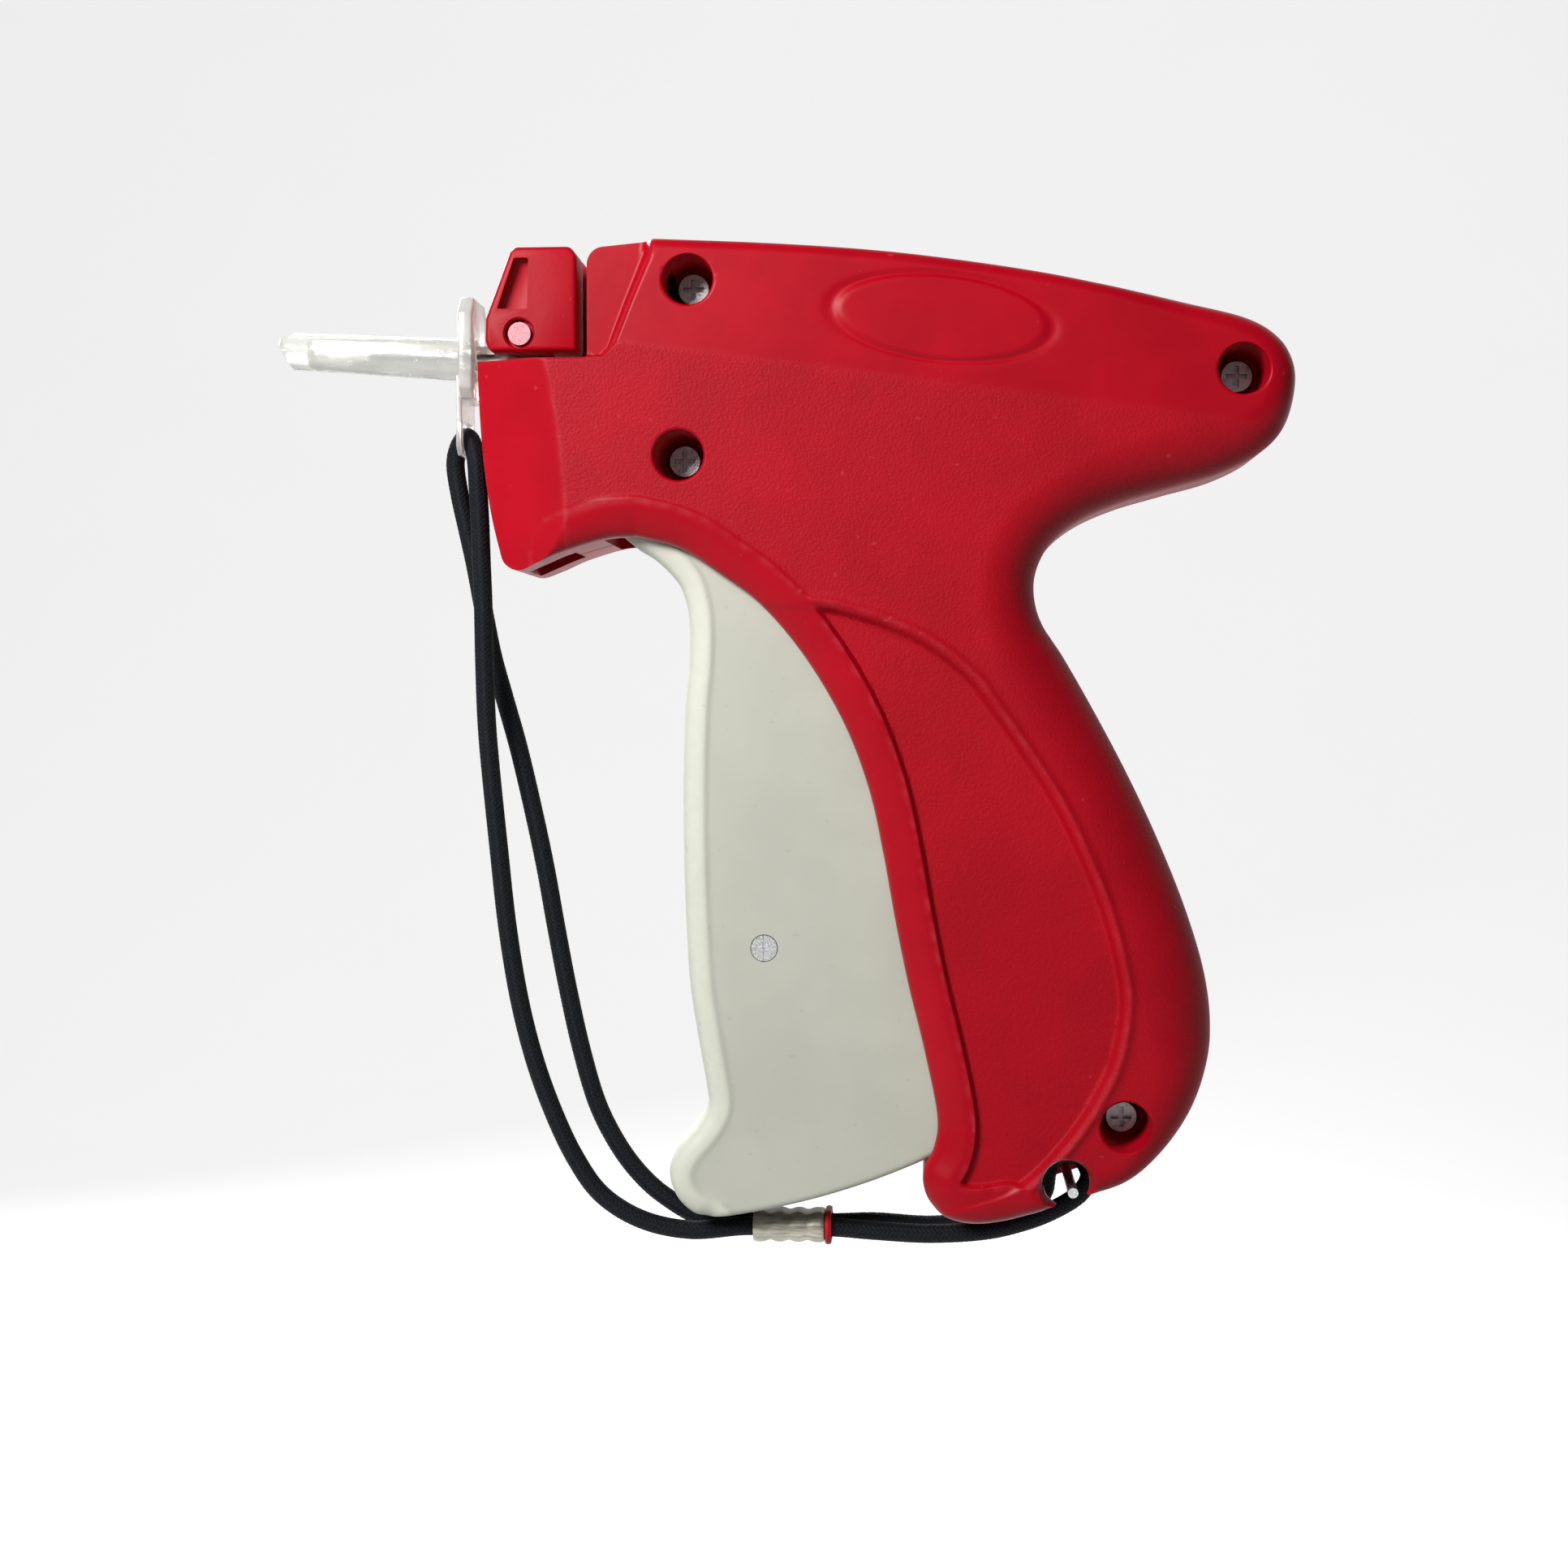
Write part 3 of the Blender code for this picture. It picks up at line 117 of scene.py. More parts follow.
def nearest(points, path):
    """For each point: its distance to the path, how far along the path that is, and its side of it, +1 or -1.

    Each point is dropped at right angles onto every straight piece, held to the piece's ends, and the
    shortest drop counts.
    """
    start, run = path[:-1], np.diff(path, axis=0)
    length = np.linalg.norm(run, axis=1)
    before = lengths(path)[:-1]
    found = []
    for part in np.array_split(points, max(1, len(points) // 2000)):
        offset = part[:, None] - start
        share = np.clip((offset * run).sum(2) / length ** 2, 0.0, 1.0)
        away = offset - share[..., None] * run
        gap = np.hypot(away[..., 0], away[..., 1])
        row, best = np.arange(len(part)), gap.argmin(1)
        turn = run[best, 0] * offset[row, best, 1] - run[best, 1] * offset[row, best, 0]
        found.append(np.stack([gap[row, best], before[best] + share[row, best] * length[best], np.sign(turn)]))
    return np.concatenate(found, axis=1)


def ease(value, low, high):
    """0 below low, 1 above high, and the cubic 3t^2 - 2t^3 between them."""
    t = np.clip((value - low) / (high - low), 0.0, 1.0)
    return t * t * (3.0 - 2.0 * t)


def ramp_up(value, softness):
    """About 0 for negative values and about the value for positive ones, with a soft corner between."""
    return 0.5 * (value + np.sqrt(value ** 2 + softness ** 2))


# Outlines of the casing and the trigger

RIM = smooth_run([
    (1.2, -45.8), (2.7, -42.6), (3.0, -38.1), (1.1, -28.7), (-1.2, -19.3), (-3.1, -10.0), (-4.8, -0.6),
    (-6.9, 8.7), (-10.5, 18.1), (-16.0, 27.4), (-22.3, 34.9), (-28.4, 39.5), (-34.0, 43.0), (-40.2, 44.7)])
NOSE = smooth_run([
    (-40.2, 44.7), (-44.7, 44.4), (-50.5, 42.7), (-54.4, 41.1), (-57.4, 40.0), (-59.6, 41.0), (-60.5, 43.2),
    (-61.9, 49.0), (-62.9, 56.0), (-63.4, 63.0), (-63.6, 70.2)])
HEAD = np.vstack([[(-47.5, 70.2)], arc((-45.0, 83.9), 2.5, 180, 90, 10)])
BACK = smooth_run([
    (-37.5, 87.1), (-19.5, 86.2), (-2.8, 84.8), (14.6, 82.3), (27.0, 79.8), (37.3, 77.4), (46.2, 75.2),
    (50.8, 72.5), (53.0, 68.9), (53.2, 64.8), (51.8, 59.9), (48.6, 56.4), (43.0, 53.6), (36.0, 51.6),
    (28.8, 49.5), (23.0, 46.9), (19.0, 43.6), (17.0, 39.6), (16.9, 35.6), (18.2, 31.8), (21.2, 27.3),
    (26.5, 18.0), (31.4, 8.6), (35.7, -0.8), (39.3, -10.1), (41.7, -18.5), (42.5, -26.0), (41.6, -32.0),
    (39.2, -37.9), (35.2, -43.3), (30.3, -47.4), (25.0, -49.4), (18.3, -51.6), (13.0, -53.2), (8.3, -53.8),
    (4.4, -53.0), (2.0, -50.8), (1.0, -48.2), (1.2, -45.8)])
CASING = np.vstack([RIM[:-1], NOSE, HEAD, BACK])
FRONT = smooth_run([
    (-40.2, 43.0), (-37.8, 41.5), (-35.5, 39.3), (-34.0, 37.0), (-33.1, 33.0), (-33.1, 27.0), (-33.7, 20.0),
    (-34.0, 9.0), (-33.9, -3.0), (-33.5, -13.0), (-33.0, -20.5), (-32.0, -27.0), (-30.7, -34.5),
    (-30.4, -37.6),
    (-31.8, -40.4), (-34.8, -44.0), (-36.1, -47.6), (-35.1, -51.2), (-32.6, -53.7), (-30.2, -54.2)])
TOE_RADIUS, TOE_ANGLE = (float(value[-1]) for value in about_pivot(FRONT))
SPINE = {"grip": (20.0, -36.0), "fork": (2.0, 57.0), "nose": (-42.0, 63.0), "tail": (42.0, 66.0)}
SECTIONS = [  # where a stretch of outline starts, the stretch of inner line it is joined to, its columns
    ((1.2, -45.8), "grip", "fork", 130), ((-10.5, 18.1), "fork", "fork", 70),
    ((-34.0, 43.0), "fork", "nose", 64), ((-50.5, 42.7), "nose", "nose", 84),
    ((-63.6, 70.2), "nose", "nose", 32), ((-47.5, 70.2), "nose", "nose", 30),
    ((-47.5, 83.9), "nose", "nose", 40), ((-30.0, 86.75), "nose", "fork", 64),
    ((2.0, 84.25), "fork", "tail", 90), ((46.2, 75.2), "tail", "tail", 64),
    ((48.6, 56.4), "tail", "fork", 90), ((28.8, 49.5), "fork", "fork", 50),
    ((18.2, 31.8), "fork", "grip", 130), ((39.2, -37.9), "grip", "grip", 110)]
EDGE = [  # a place on the outline, and how far its rounding reaches in and drops
    ((1.2, -45.8), 4.6, 3.0), ((3.0, -38.1), 5.4, 3.2), ((-34.0, 43.0), 5.2, 3.2),
    ((-50.5, 42.7), 4.2, 2.8), ((-56.5, 40.2), 1.2, 1.0), ((-61.0, 45.0), 0.8, 0.8),
    ((-63.6, 70.2), 0.6, 0.6), ((-47.5, 70.2), 0.6, 0.6), ((-47.5, 84.0), 0.9, 0.9),
    ((-37.5, 87.1), 1.8, 1.8), ((27.0, 79.8), 2.2, 2.2), ((46.2, 75.2), 3.4, 3.4), ((53.2, 64.8), 4.4, 4.6),
    ((48.6, 56.4), 6.0, 5.5), ((36.0, 51.6), 8.0, 6.8), ((23.0, 46.9), 7.0, 7.0), ((16.9, 35.6), 8.0, 7.6),
    ((21.2, 27.3), 10.0, 8.8), ((35.7, -0.8), 11.5, 9.6), ((42.5, -26.0), 10.5, 9.2),
    ((39.2, -37.9), 7.0, 6.0), ((32.0, -46.2), 3.4, 3.2), ((18.3, -51.6), 2.4, 2.2), ((4.4, -53.0), 3.2, 2.6)]
LEAF = smooth_run([
    (-22.0, 35.2), (-13.8, 34.7), (-9.7, 33.9), (-3.9, 32.0), (1.8, 29.3), (7.55, 24.7), (11.3, 19.8),
    (15.1, 14.4), (19.6, 7.5), (23.0, 0.85), (26.4, -7.2), (28.7, -15.2), (29.7, -21.8), (28.5, -29.4),
    (26.7, -33.8), (23.9, -38.7), (20.2, -43.5), (16.6, -47.2), (12.9, -49.8), (8.5, -51.3), (3.0, -52.6),
    (-4.0, -53.0)], 1.5)


def corner_on(path, place):
    """The number of the path's point nearest to a place."""
    return int(np.hypot(*(path - np.asarray(place)).T).argmin())


def columns(outline, sections, spine):
    """The outline's points and the inner line's point that each is joined to.

    The outline is cut where each section starts, and each stretch takes evenly spaced points. Its inner
    points move evenly along one straight piece of the inner line, or stay at one end of it. The two
    stretches on either side of a piece have as many points, so that they meet.
    """
    starts = [corner_on(outline, section[0]) for section in sections] + [len(outline) - 1]
    outer, inner = [], []
    for (_, start, end, count), first, last in zip(sections, starts, starts[1:]):
        outer.append(spaced(outline[first:last + 1], count)[:-1])
        share = np.arange(count)[:, None] / count
        inner.append((1 - share) * np.array(spine[start]) + share * np.array(spine[end]))
    return np.vstack(outer), np.vstack(inner)


# Meshes

def mesh_of(name, points, faces, values=None):
    """A mesh object from points in millimetres and faces, closed at its seams, with values kept per point."""
    mesh = bpy.data.meshes.new(name)
    mesh.from_pydata((np.asarray(points) * MM).tolist(), [], [list(map(int, face)) for face in faces])
    for key, value in (values or {}).items():
        mesh.attributes.new(key, "FLOAT", "POINT").data.foreach_set("value", np.asarray(value, np.float32))
    shape = bmesh.new()
    shape.from_mesh(mesh)
    bmesh.ops.remove_doubles(shape, verts=shape.verts, dist=1e-7)
    bmesh.ops.dissolve_degenerate(shape, edges=shape.edges, dist=1e-8)
    bmesh.ops.recalc_face_normals(shape, faces=shape.faces)
    shape.to_mesh(mesh)
    shape.free()
    made = bpy.data.objects.new(name, mesh)
    bpy.context.scene.collection.objects.link(made)
    return made


def grid_faces(rows, across, around=True, over=False):
    """The four-cornered faces of a grid of points, joined round and over where asked."""
    row = np.arange(rows if over else rows - 1)[:, None]
    step = np.arange(across if around else across - 1)
    here, there = row * across, (row + 1) % rows * across
    after = (step + 1) % across
    return np.stack([here + step, here + after, there + after, there + step], axis=-1).reshape(-1, 4)


def sheet_of(name, grid, values=None, around=True, over=False):
    """A surface from a grid of points with its first axis along and its second axis round."""
    rows, across = grid.shape[:2]
    flat = {key: np.broadcast_to(value, (rows, across)).ravel() for key, value in (values or {}).items()}
    return mesh_of(name, grid.reshape(-1, 3), grid_faces(rows, across, around, over), flat)


def stood(u, v, w):
    """An outline in x and z, at a height along y."""
    return u, w, v


def crossing(u, v, w):
    """An outline in y and z, at a height along x."""
    return w, u, v


def plate(name, outline, low, high, lift=stood):
    """A flat solid: the outline at two heights, joined by a wall. lift gives x, y and z."""
    outline = np.asarray(outline, float)
    if np.allclose(outline[0], outline[-1]):
        outline = outline[:-1]
    count = len(outline)
    ends = [np.stack(lift(outline[:, 0], outline[:, 1], np.full(count, float(height))), axis=1)
            for height in (low, high)]
    faces = grid_faces(2, count).tolist() + [list(range(count))[::-1], list(range(count, 2 * count))]
    return mesh_of(name, np.vstack(ends), faces)


def block(name, low, high):
    """A box between two corners."""
    (x0, y0, z0), (x1, y1, z1) = low, high
    return plate(name, [(x0, z0), (x1, z0), (x1, z1), (x0, z1)], y0, y1)


def turned(name, profile, start, way, sides=48, values=None):
    """A turned solid: each (radius, along) of the profile goes once round the line from start along way."""
    profile = np.asarray(profile, float)
    way = np.asarray(way, float) / np.linalg.norm(way)
    side = np.cross(way, (0.0, 0.0, 1.0) if abs(way[2]) < 0.9 else (1.0, 0.0, 0.0))
    side /= np.linalg.norm(side)
    up = np.cross(way, side)
    angle = np.linspace(0.0, 2 * math.pi, sides, endpoint=False)
    ring = np.cos(angle)[:, None] * side + np.sin(angle)[:, None] * up
    grid = np.asarray(start) + profile[:, 1][:, None, None] * way + profile[:, 0][:, None, None] * ring
    return sheet_of(name, grid, values)


def peg(name, place, radius, low, high, sides=48):
    """A round bar across the gun through a point of its side, from y = low to y = high."""
    profile = [(0, 0), (radius, 0), (radius, high - low), (0, high - low)]
    return turned(name, profile, (place[0], low, place[1]), (0, 1, 0), sides)


def carve(piece, *steps):
    """Cuts, joins or crosses solids in turn, keeps the result as the piece's mesh and removes the tools."""
    for operation, tool in steps:
        modifier = piece.modifiers.new("carve", "BOOLEAN")
        modifier.operation, modifier.object, modifier.solver = operation, tool, "MANIFOLD"
    bpy.context.view_layer.update()
    mesh = bpy.data.meshes.new_from_object(piece.evaluated_get(bpy.context.evaluated_depsgraph_get()))
    if len(mesh.polygons) < 4:
        raise RuntimeError(f"{piece.name} has nothing left after its cuts")
    piece.modifiers.clear()
    piece.data = mesh
    for _, tool in steps:
        bpy.data.objects.remove(tool)
    return piece


def shade(piece, angle=38.0):
    piece.data.shade_smooth()
    piece.data.set_sharp_from_angle(angle=math.radians(angle))
    return piece


def place_piece(piece, look, body, *nodes, slot=None):
    """Gives a finished piece its material, its body and the frame's pieces that it stands for."""
    piece.data.materials.clear()
    piece.data.materials.append(look)
    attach(piece, body)
    if nodes:
        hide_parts(*nodes)
    return piece


# Shader maths

class Value:
    """A shader socket in an expression: an operator on it adds the Math node that works it out."""

    def __init__(self, look, socket):
        self.look, self.socket = look, socket

    def __add__(self, other):
        return self.look.maths("ADD", self, other)

    def __rsub__(self, other):
        return self.look.maths("SUBTRACT", other, self)

    def __mul__(self, other):
        return self.look.maths("MULTIPLY", self, other)

    __radd__, __rmul__ = __add__, __mul__


class Look:
    """A material under construction: its Principled shader, and the nodes that lead to it."""

    def __init__(self, name, **constants):
        self.material = bpy.data.materials.new(name)
        self.material.use_nodes = True
        self.tree = self.material.node_tree
        self.shader = self.tree.nodes["Principled BSDF"]
        self.set(self.shader, {key.replace("_", " "): value for key, value in constants.items()})

    def set(self, node, sockets):
        for key, value in sockets.items():
            if isinstance(value, Value):
                self.tree.links.new(value.socket, node.inputs[key])
            else:
                node.inputs[key].default_value = value

    def node(self, kind, settings, sockets, output=0):
        """One node: its settings first, then the values or links of its sockets."""
        made = self.tree.nodes.new("ShaderNode" + kind)
        for key, value in settings.items():
            setattr(made, key, value)
        self.set(made, sockets)
        return Value(self, made.outputs[output])

    def maths(self, operation, first, second=0.0):
        return self.node("Math", {"operation": operation}, {0: first, 1: second})

    def place(self):
        return self.node("TexCoord", {}, {}, "Object")

    def kept(self, name):
        """A value kept per point of the mesh."""
        return self.node("Attribute", {"attribute_name": name}, {}, "Fac")

    def noise(self, size, detail=2.0, roughness=0.5, place=None):
        """Noise from 0 to 1 with blotches of about this size in millimetres."""
        sockets = {"Vector": place or self.place(), "Scale": 1.0 / (size * MM), "Detail": detail,
                   "Roughness": roughness}
        return self.node("TexNoise", {}, sockets, "Fac")

    def band(self, value, low, high):
        """0 below low, 1 above high, smooth between."""
        settings = {"interpolation_type": "SMOOTHSTEP"}
        return self.node("MapRange", settings, {"Value": value, "From Min": low, "From Max": high})

    def blend(self, share, first, second):
        """The first colour where share is 0 and the second where it is 1."""
        colours = {6: self.opaque(first), 7: self.opaque(second), 0: share}
        return self.node("Mix", {"data_type": "RGBA"}, colours, 2)

    @staticmethod
    def opaque(colour):
        return colour if isinstance(colour, Value) else (*colour[:3], 1.0)

    def raised(self, height, depth, strength=1.0):
        """A bump of this depth in millimetres where height goes from 0 to 1."""
        sockets = {"Height": height, "Distance": depth * MM, "Strength": strength}
        self.set(self.shader, {"Normal": self.node("Bump", {}, sockets, "Normal")})

    def finish(self, **links):
        self.set(self.shader, {key.replace("_", " "): value for key, value in links.items()})
        return self.material


def shaded(colour, factor):
    return tuple(min(1.0, part * factor) for part in colour[:3])


# Casing

RIM_LINE = np.vstack([spaced(CASING[corner_on(CASING, (13.0, -53.2)):], 30)[:-1],
                      CASING[:corner_on(CASING, (-50.5, 42.7)) + 1]])
EDGE_ALONG = lengths(CASING)[[corner_on(CASING, place) for place, _, _ in EDGE]]
EDGE_REACH, EDGE_DROP = np.array([size for _, *size in EDGE]).T
NOSE_CREASE = np.array([(-50.0, 38.0), (-50.1, 45.0), (-50.3, 50.2), (-51.1, 59.2), (-52.95, 69.6),
                        (-53.2, 72.0)])
HEAD_CREASE = np.array([(-44.8, 69.0), (-44.3, 70.4), (-42.65, 72.0), (-40.2, 78.3), (-37.5, 84.8),
                        (-37.2, 95.0)])
BADGE = (3.4, 75.2, 15.5, 6.0, math.radians(-6.6))
SCREWS = [(-32.6, 81.0), (-33.9, 56.1), (45.7, 67.7), (29.8, -39.3)]
FULCRUM = (12.0, 17.0)
LANYARD = (22.5, -49.3)


def badge_gap(x, z):
    """About how far inside the oval badge a point is, in millimetres: 1 less its share of the half-axes."""
    cx, cz, wide, high, tilt = BADGE
    along = (x - cx) * math.cos(tilt) + (z - cz) * math.sin(tilt)
    across = (z - cz) * math.cos(tilt) - (x - cx) * math.sin(tilt)
    share = np.sqrt((along / wide) ** 2 + (across / high) ** 2)
    return (1.0 - share) * high


def casing_face(points):
    """The casing's outer face over each point: its distance from the mid-plane, its grain, and its pale lines of
    painted highlight with some edge wear.

    The face is flat and rounds off towards the outline along a quarter of an ellipse, whose reach and drop
    change along the outline. Added to that are a proud lip where the trigger-side band ends, a sunk
    leaf-shaped panel with a bead along it, a lean of 2 degrees above the zone line, a raised oval, the slant
    of the nose and the narrower head. Each of them is a smooth step of a distance to its line.
    """
    look = bpy.context.scene.gun_casing
    x, z = points.T
    gap, along, _ = nearest(points, CASING)
    reach = np.interp(along, EDGE_ALONG, EDGE_REACH, period=lengths(CASING)[-1])
    drop = np.interp(along, EDGE_ALONG, EDGE_DROP, period=lengths(CASING)[-1])
    height = HALF_WIDTH - drop * (1.0 - np.sqrt(1.0 - np.clip(1.0 - gap / reach, 0.0, 1.0) ** 2))
    rim_gap = nearest(points, RIM_LINE)[0]
    leaf_gap, _, leaf_side = nearest(points, LEAF)
    leaf = -leaf_side * leaf_gap
    beyond = ease(rim_gap, 5.3, 6.0)
    height += 0.35 * ease(rim_gap, 1.6, 4.4) * (1.0 - beyond) * ease(x, -50.0, -40.0)
    height -= ease(leaf, 0.0, 1.1) * (0.4 + (look.leaf_depth / MM - 0.4) * beyond)
    height += 0.42 * np.exp(-((leaf + 0.7) / 0.6) ** 2) * beyond
    upper = z - (66.5 - 0.132 * x)
    height -= math.tan(math.radians(2.0)) * ramp_up(upper, 0.5)
    badge = badge_gap(x, z)
    height += look.badge_height / MM * (ease(badge, 0.0, 0.5) - 1.2 * np.exp(-((badge + 0.1) / 0.35) ** 2))
    nose = np.interp(z, NOSE_CREASE[:, 1], NOSE_CREASE[:, 0]) - x
    height -= ramp_up(height - (HALF_WIDTH - 0.4365 * nose), 0.15)
    head = np.interp(z, HEAD_CREASE[:, 1], HEAD_CREASE[:, 0]) - x
    step = ease(np.minimum(head / 2.0, (z - 70.1) / 0.8), 0.0, 1.0)
    height -= (height - 9.7) * step
    grain = beyond * (1.0 - ease(upper, -0.4, 0.6)) * (1.0 - ease(nose, -0.3, 0.2)) * (1.0 - step)
    # Pale lines along the rim crease, the leaf's lip, the nose crease and the outline: painted highlight, partly
    # edge wear.
    highlight_and_wear = np.exp(-((rim_gap - 5.1) / 0.4) ** 2) + 0.6 * np.exp(-((leaf + 0.5) / 0.35) ** 2) * beyond
    highlight_and_wear += 0.7 * np.exp(-(nose / 0.3) ** 2) * (z < 69.8) + 0.5 * np.exp(-(gap / 0.35) ** 2)
    return height, grain, np.clip(highlight_and_wear, 0.0, 1.0)


def rows_by_bend(outer, inner, height_of, count, samples=150):
    """Rows of points from the outline to the inner line, closest together where the surface bends most.

    Each column is sampled evenly. Its density is a constant plus the root of the second difference of the
    height there, smoothed over its neighbours, and the rows stand at equal shares of the density's sum.
    """
    share = np.linspace(0.0, 1.0, samples)[:, None, None]
    height = height_of((outer + share * (inner - outer)).reshape(-1, 2)).reshape(samples, -1)
    step = np.linalg.norm(inner - outer, axis=1) / (samples - 1)
    bend = np.abs(np.diff(height, 2, axis=0)) / np.maximum(step, 0.02) ** 2
    density = 0.35 + np.sqrt(np.minimum(np.pad(bend, ((1, 1), (0, 0)), mode="edge"), 8.0))
    for shift in (1, 2):
        edge = np.pad(density, ((shift, shift), (0, 0)), mode="edge")
        density = 0.5 * density + 0.25 * (edge[:-2 * shift] + edge[2 * shift:])
    for shift in (1, 2, 4):
        density = 0.5 * density + 0.25 * (np.roll(density, shift, 1) + np.roll(density, -shift, 1))
    total = np.cumsum(density, axis=0)
    total = (total - total[0]) / (total[-1] - total[0])
    wanted = np.linspace(0.0, 1.0, count + 1)[1:-1]
    after = (total[None] < wanted[:, None, None]).sum(1)
    low, high = (np.take_along_axis(total, after - back, 0) for back in (1, 0))
    place = (after - 1 + (wanted[:, None] - low) / (high - low)) / (samples - 1)
    place = np.vstack([np.zeros(len(outer)), place, np.ones(len(outer))])
    return outer + place[..., None] * (inner - outer)


def slab(name, side, plan, height, wall, base):
    """A solid between its face and a flat base: the plan's rows at their heights, a wall of the given
    (inset, y) lines, and the base back at the inner line. Side is -1 for the left and +1 for the right."""
    outline, middle = plan[0], plan[-1]
    away = outline - middle
    away /= np.linalg.norm(away, axis=1)[:, None]
    rows = [np.dstack([plan[::-1, :, 0], side * height[::-1], plan[::-1, :, 1]])]
    for inset, y in wall:
        edge = outline - inset * away
        rows.append(np.stack([edge[:, 0], np.full(len(edge), side * y), edge[:, 1]], axis=1)[None])
    rows.append(np.stack([middle[:, 0], np.full(len(middle), side * base), middle[:, 1]], axis=1)[None])
    return sheet_of(name, np.vstack(rows))


def casing_plans():
    """The casing's plan of points with its heights, and the plan and heights of the hollow inside it."""
    outer, inner = columns(CASING, SECTIONS, SPINE)
    plan = rows_by_bend(outer, inner, lambda points: casing_face(points)[0], 50)
    height = casing_face(plan.reshape(-1, 2))[0].reshape(plan.shape[:2])
    ahead = np.roll(outer, -1, axis=0) - np.roll(outer, 1, axis=0)
    normal = np.stack([-ahead[:, 1], ahead[:, 0]], axis=1) / np.linalg.norm(ahead, axis=1)[:, None]
    reach = np.linalg.norm(inner - outer, axis=1)[:, None]
    slant = np.abs(((inner - outer) / reach * normal).sum(1))
    inset = outer + (inner - outer) / reach * (2.2 / np.maximum(slant, 0.45))[:, None]
    share = np.linspace(0.0, 1.0, 13)[:, None, None]
    hollow = inset + share * (inner - inset)
    depth = np.minimum(casing_face(hollow.reshape(-1, 2))[0], HALF_WIDTH).reshape(hollow.shape[:2]) - 2.1
    return plan, height, hollow, depth


def trigger_opening():
    """The room that the trigger moves in: between two copies of the rim, turned about the trigger's pivot."""
    radius, angle = about_pivot(RIM[::6])
    keep = (radius > 7.2) & (radius < TOE_RADIUS - 0.5)
    radius, angle = radius[keep], angle[keep]
    radius, angle = np.insert(radius, 0, TOE_RADIUS + 0.6), np.insert(angle, 0, angle[0])
    swing = np.maximum(radius, 12.0)
    low, high = from_pivot(radius, angle - 5.0 / swing), from_pivot(radius, angle + 5.4 / swing)
    x, z = PIVOT
    return np.vstack([low, [(x - 1.4, z - 9.0), (x - 3.5, z + 1.0), (x + 4.6, z + 1.4)], high[::-1]])


def recess(side, place, radius, top, bottom):
    """A round sinking whose mouth flares by a rounded 0.5 mm and whose floor is slightly dished."""
    turn = np.radians(np.linspace(0.0, 90.0, 6))
    mouth = [(radius + 0.5 * (1 - math.sin(a)), 0.5 * math.cos(a)) for a in turn[::-1]]
    profile = [(0.0, top - bottom - 0.15), (radius - 0.3, top - bottom), (radius, top - bottom - 0.4)]
    profile += [(r, 0.5 - along) for r, along in mouth] + [(radius + 0.5, -3.0), (0.0, -3.0)]
    return turned("recess", profile[::-1], (place[0], side * top, place[1]), (0.0, -side, 0.0), 64)


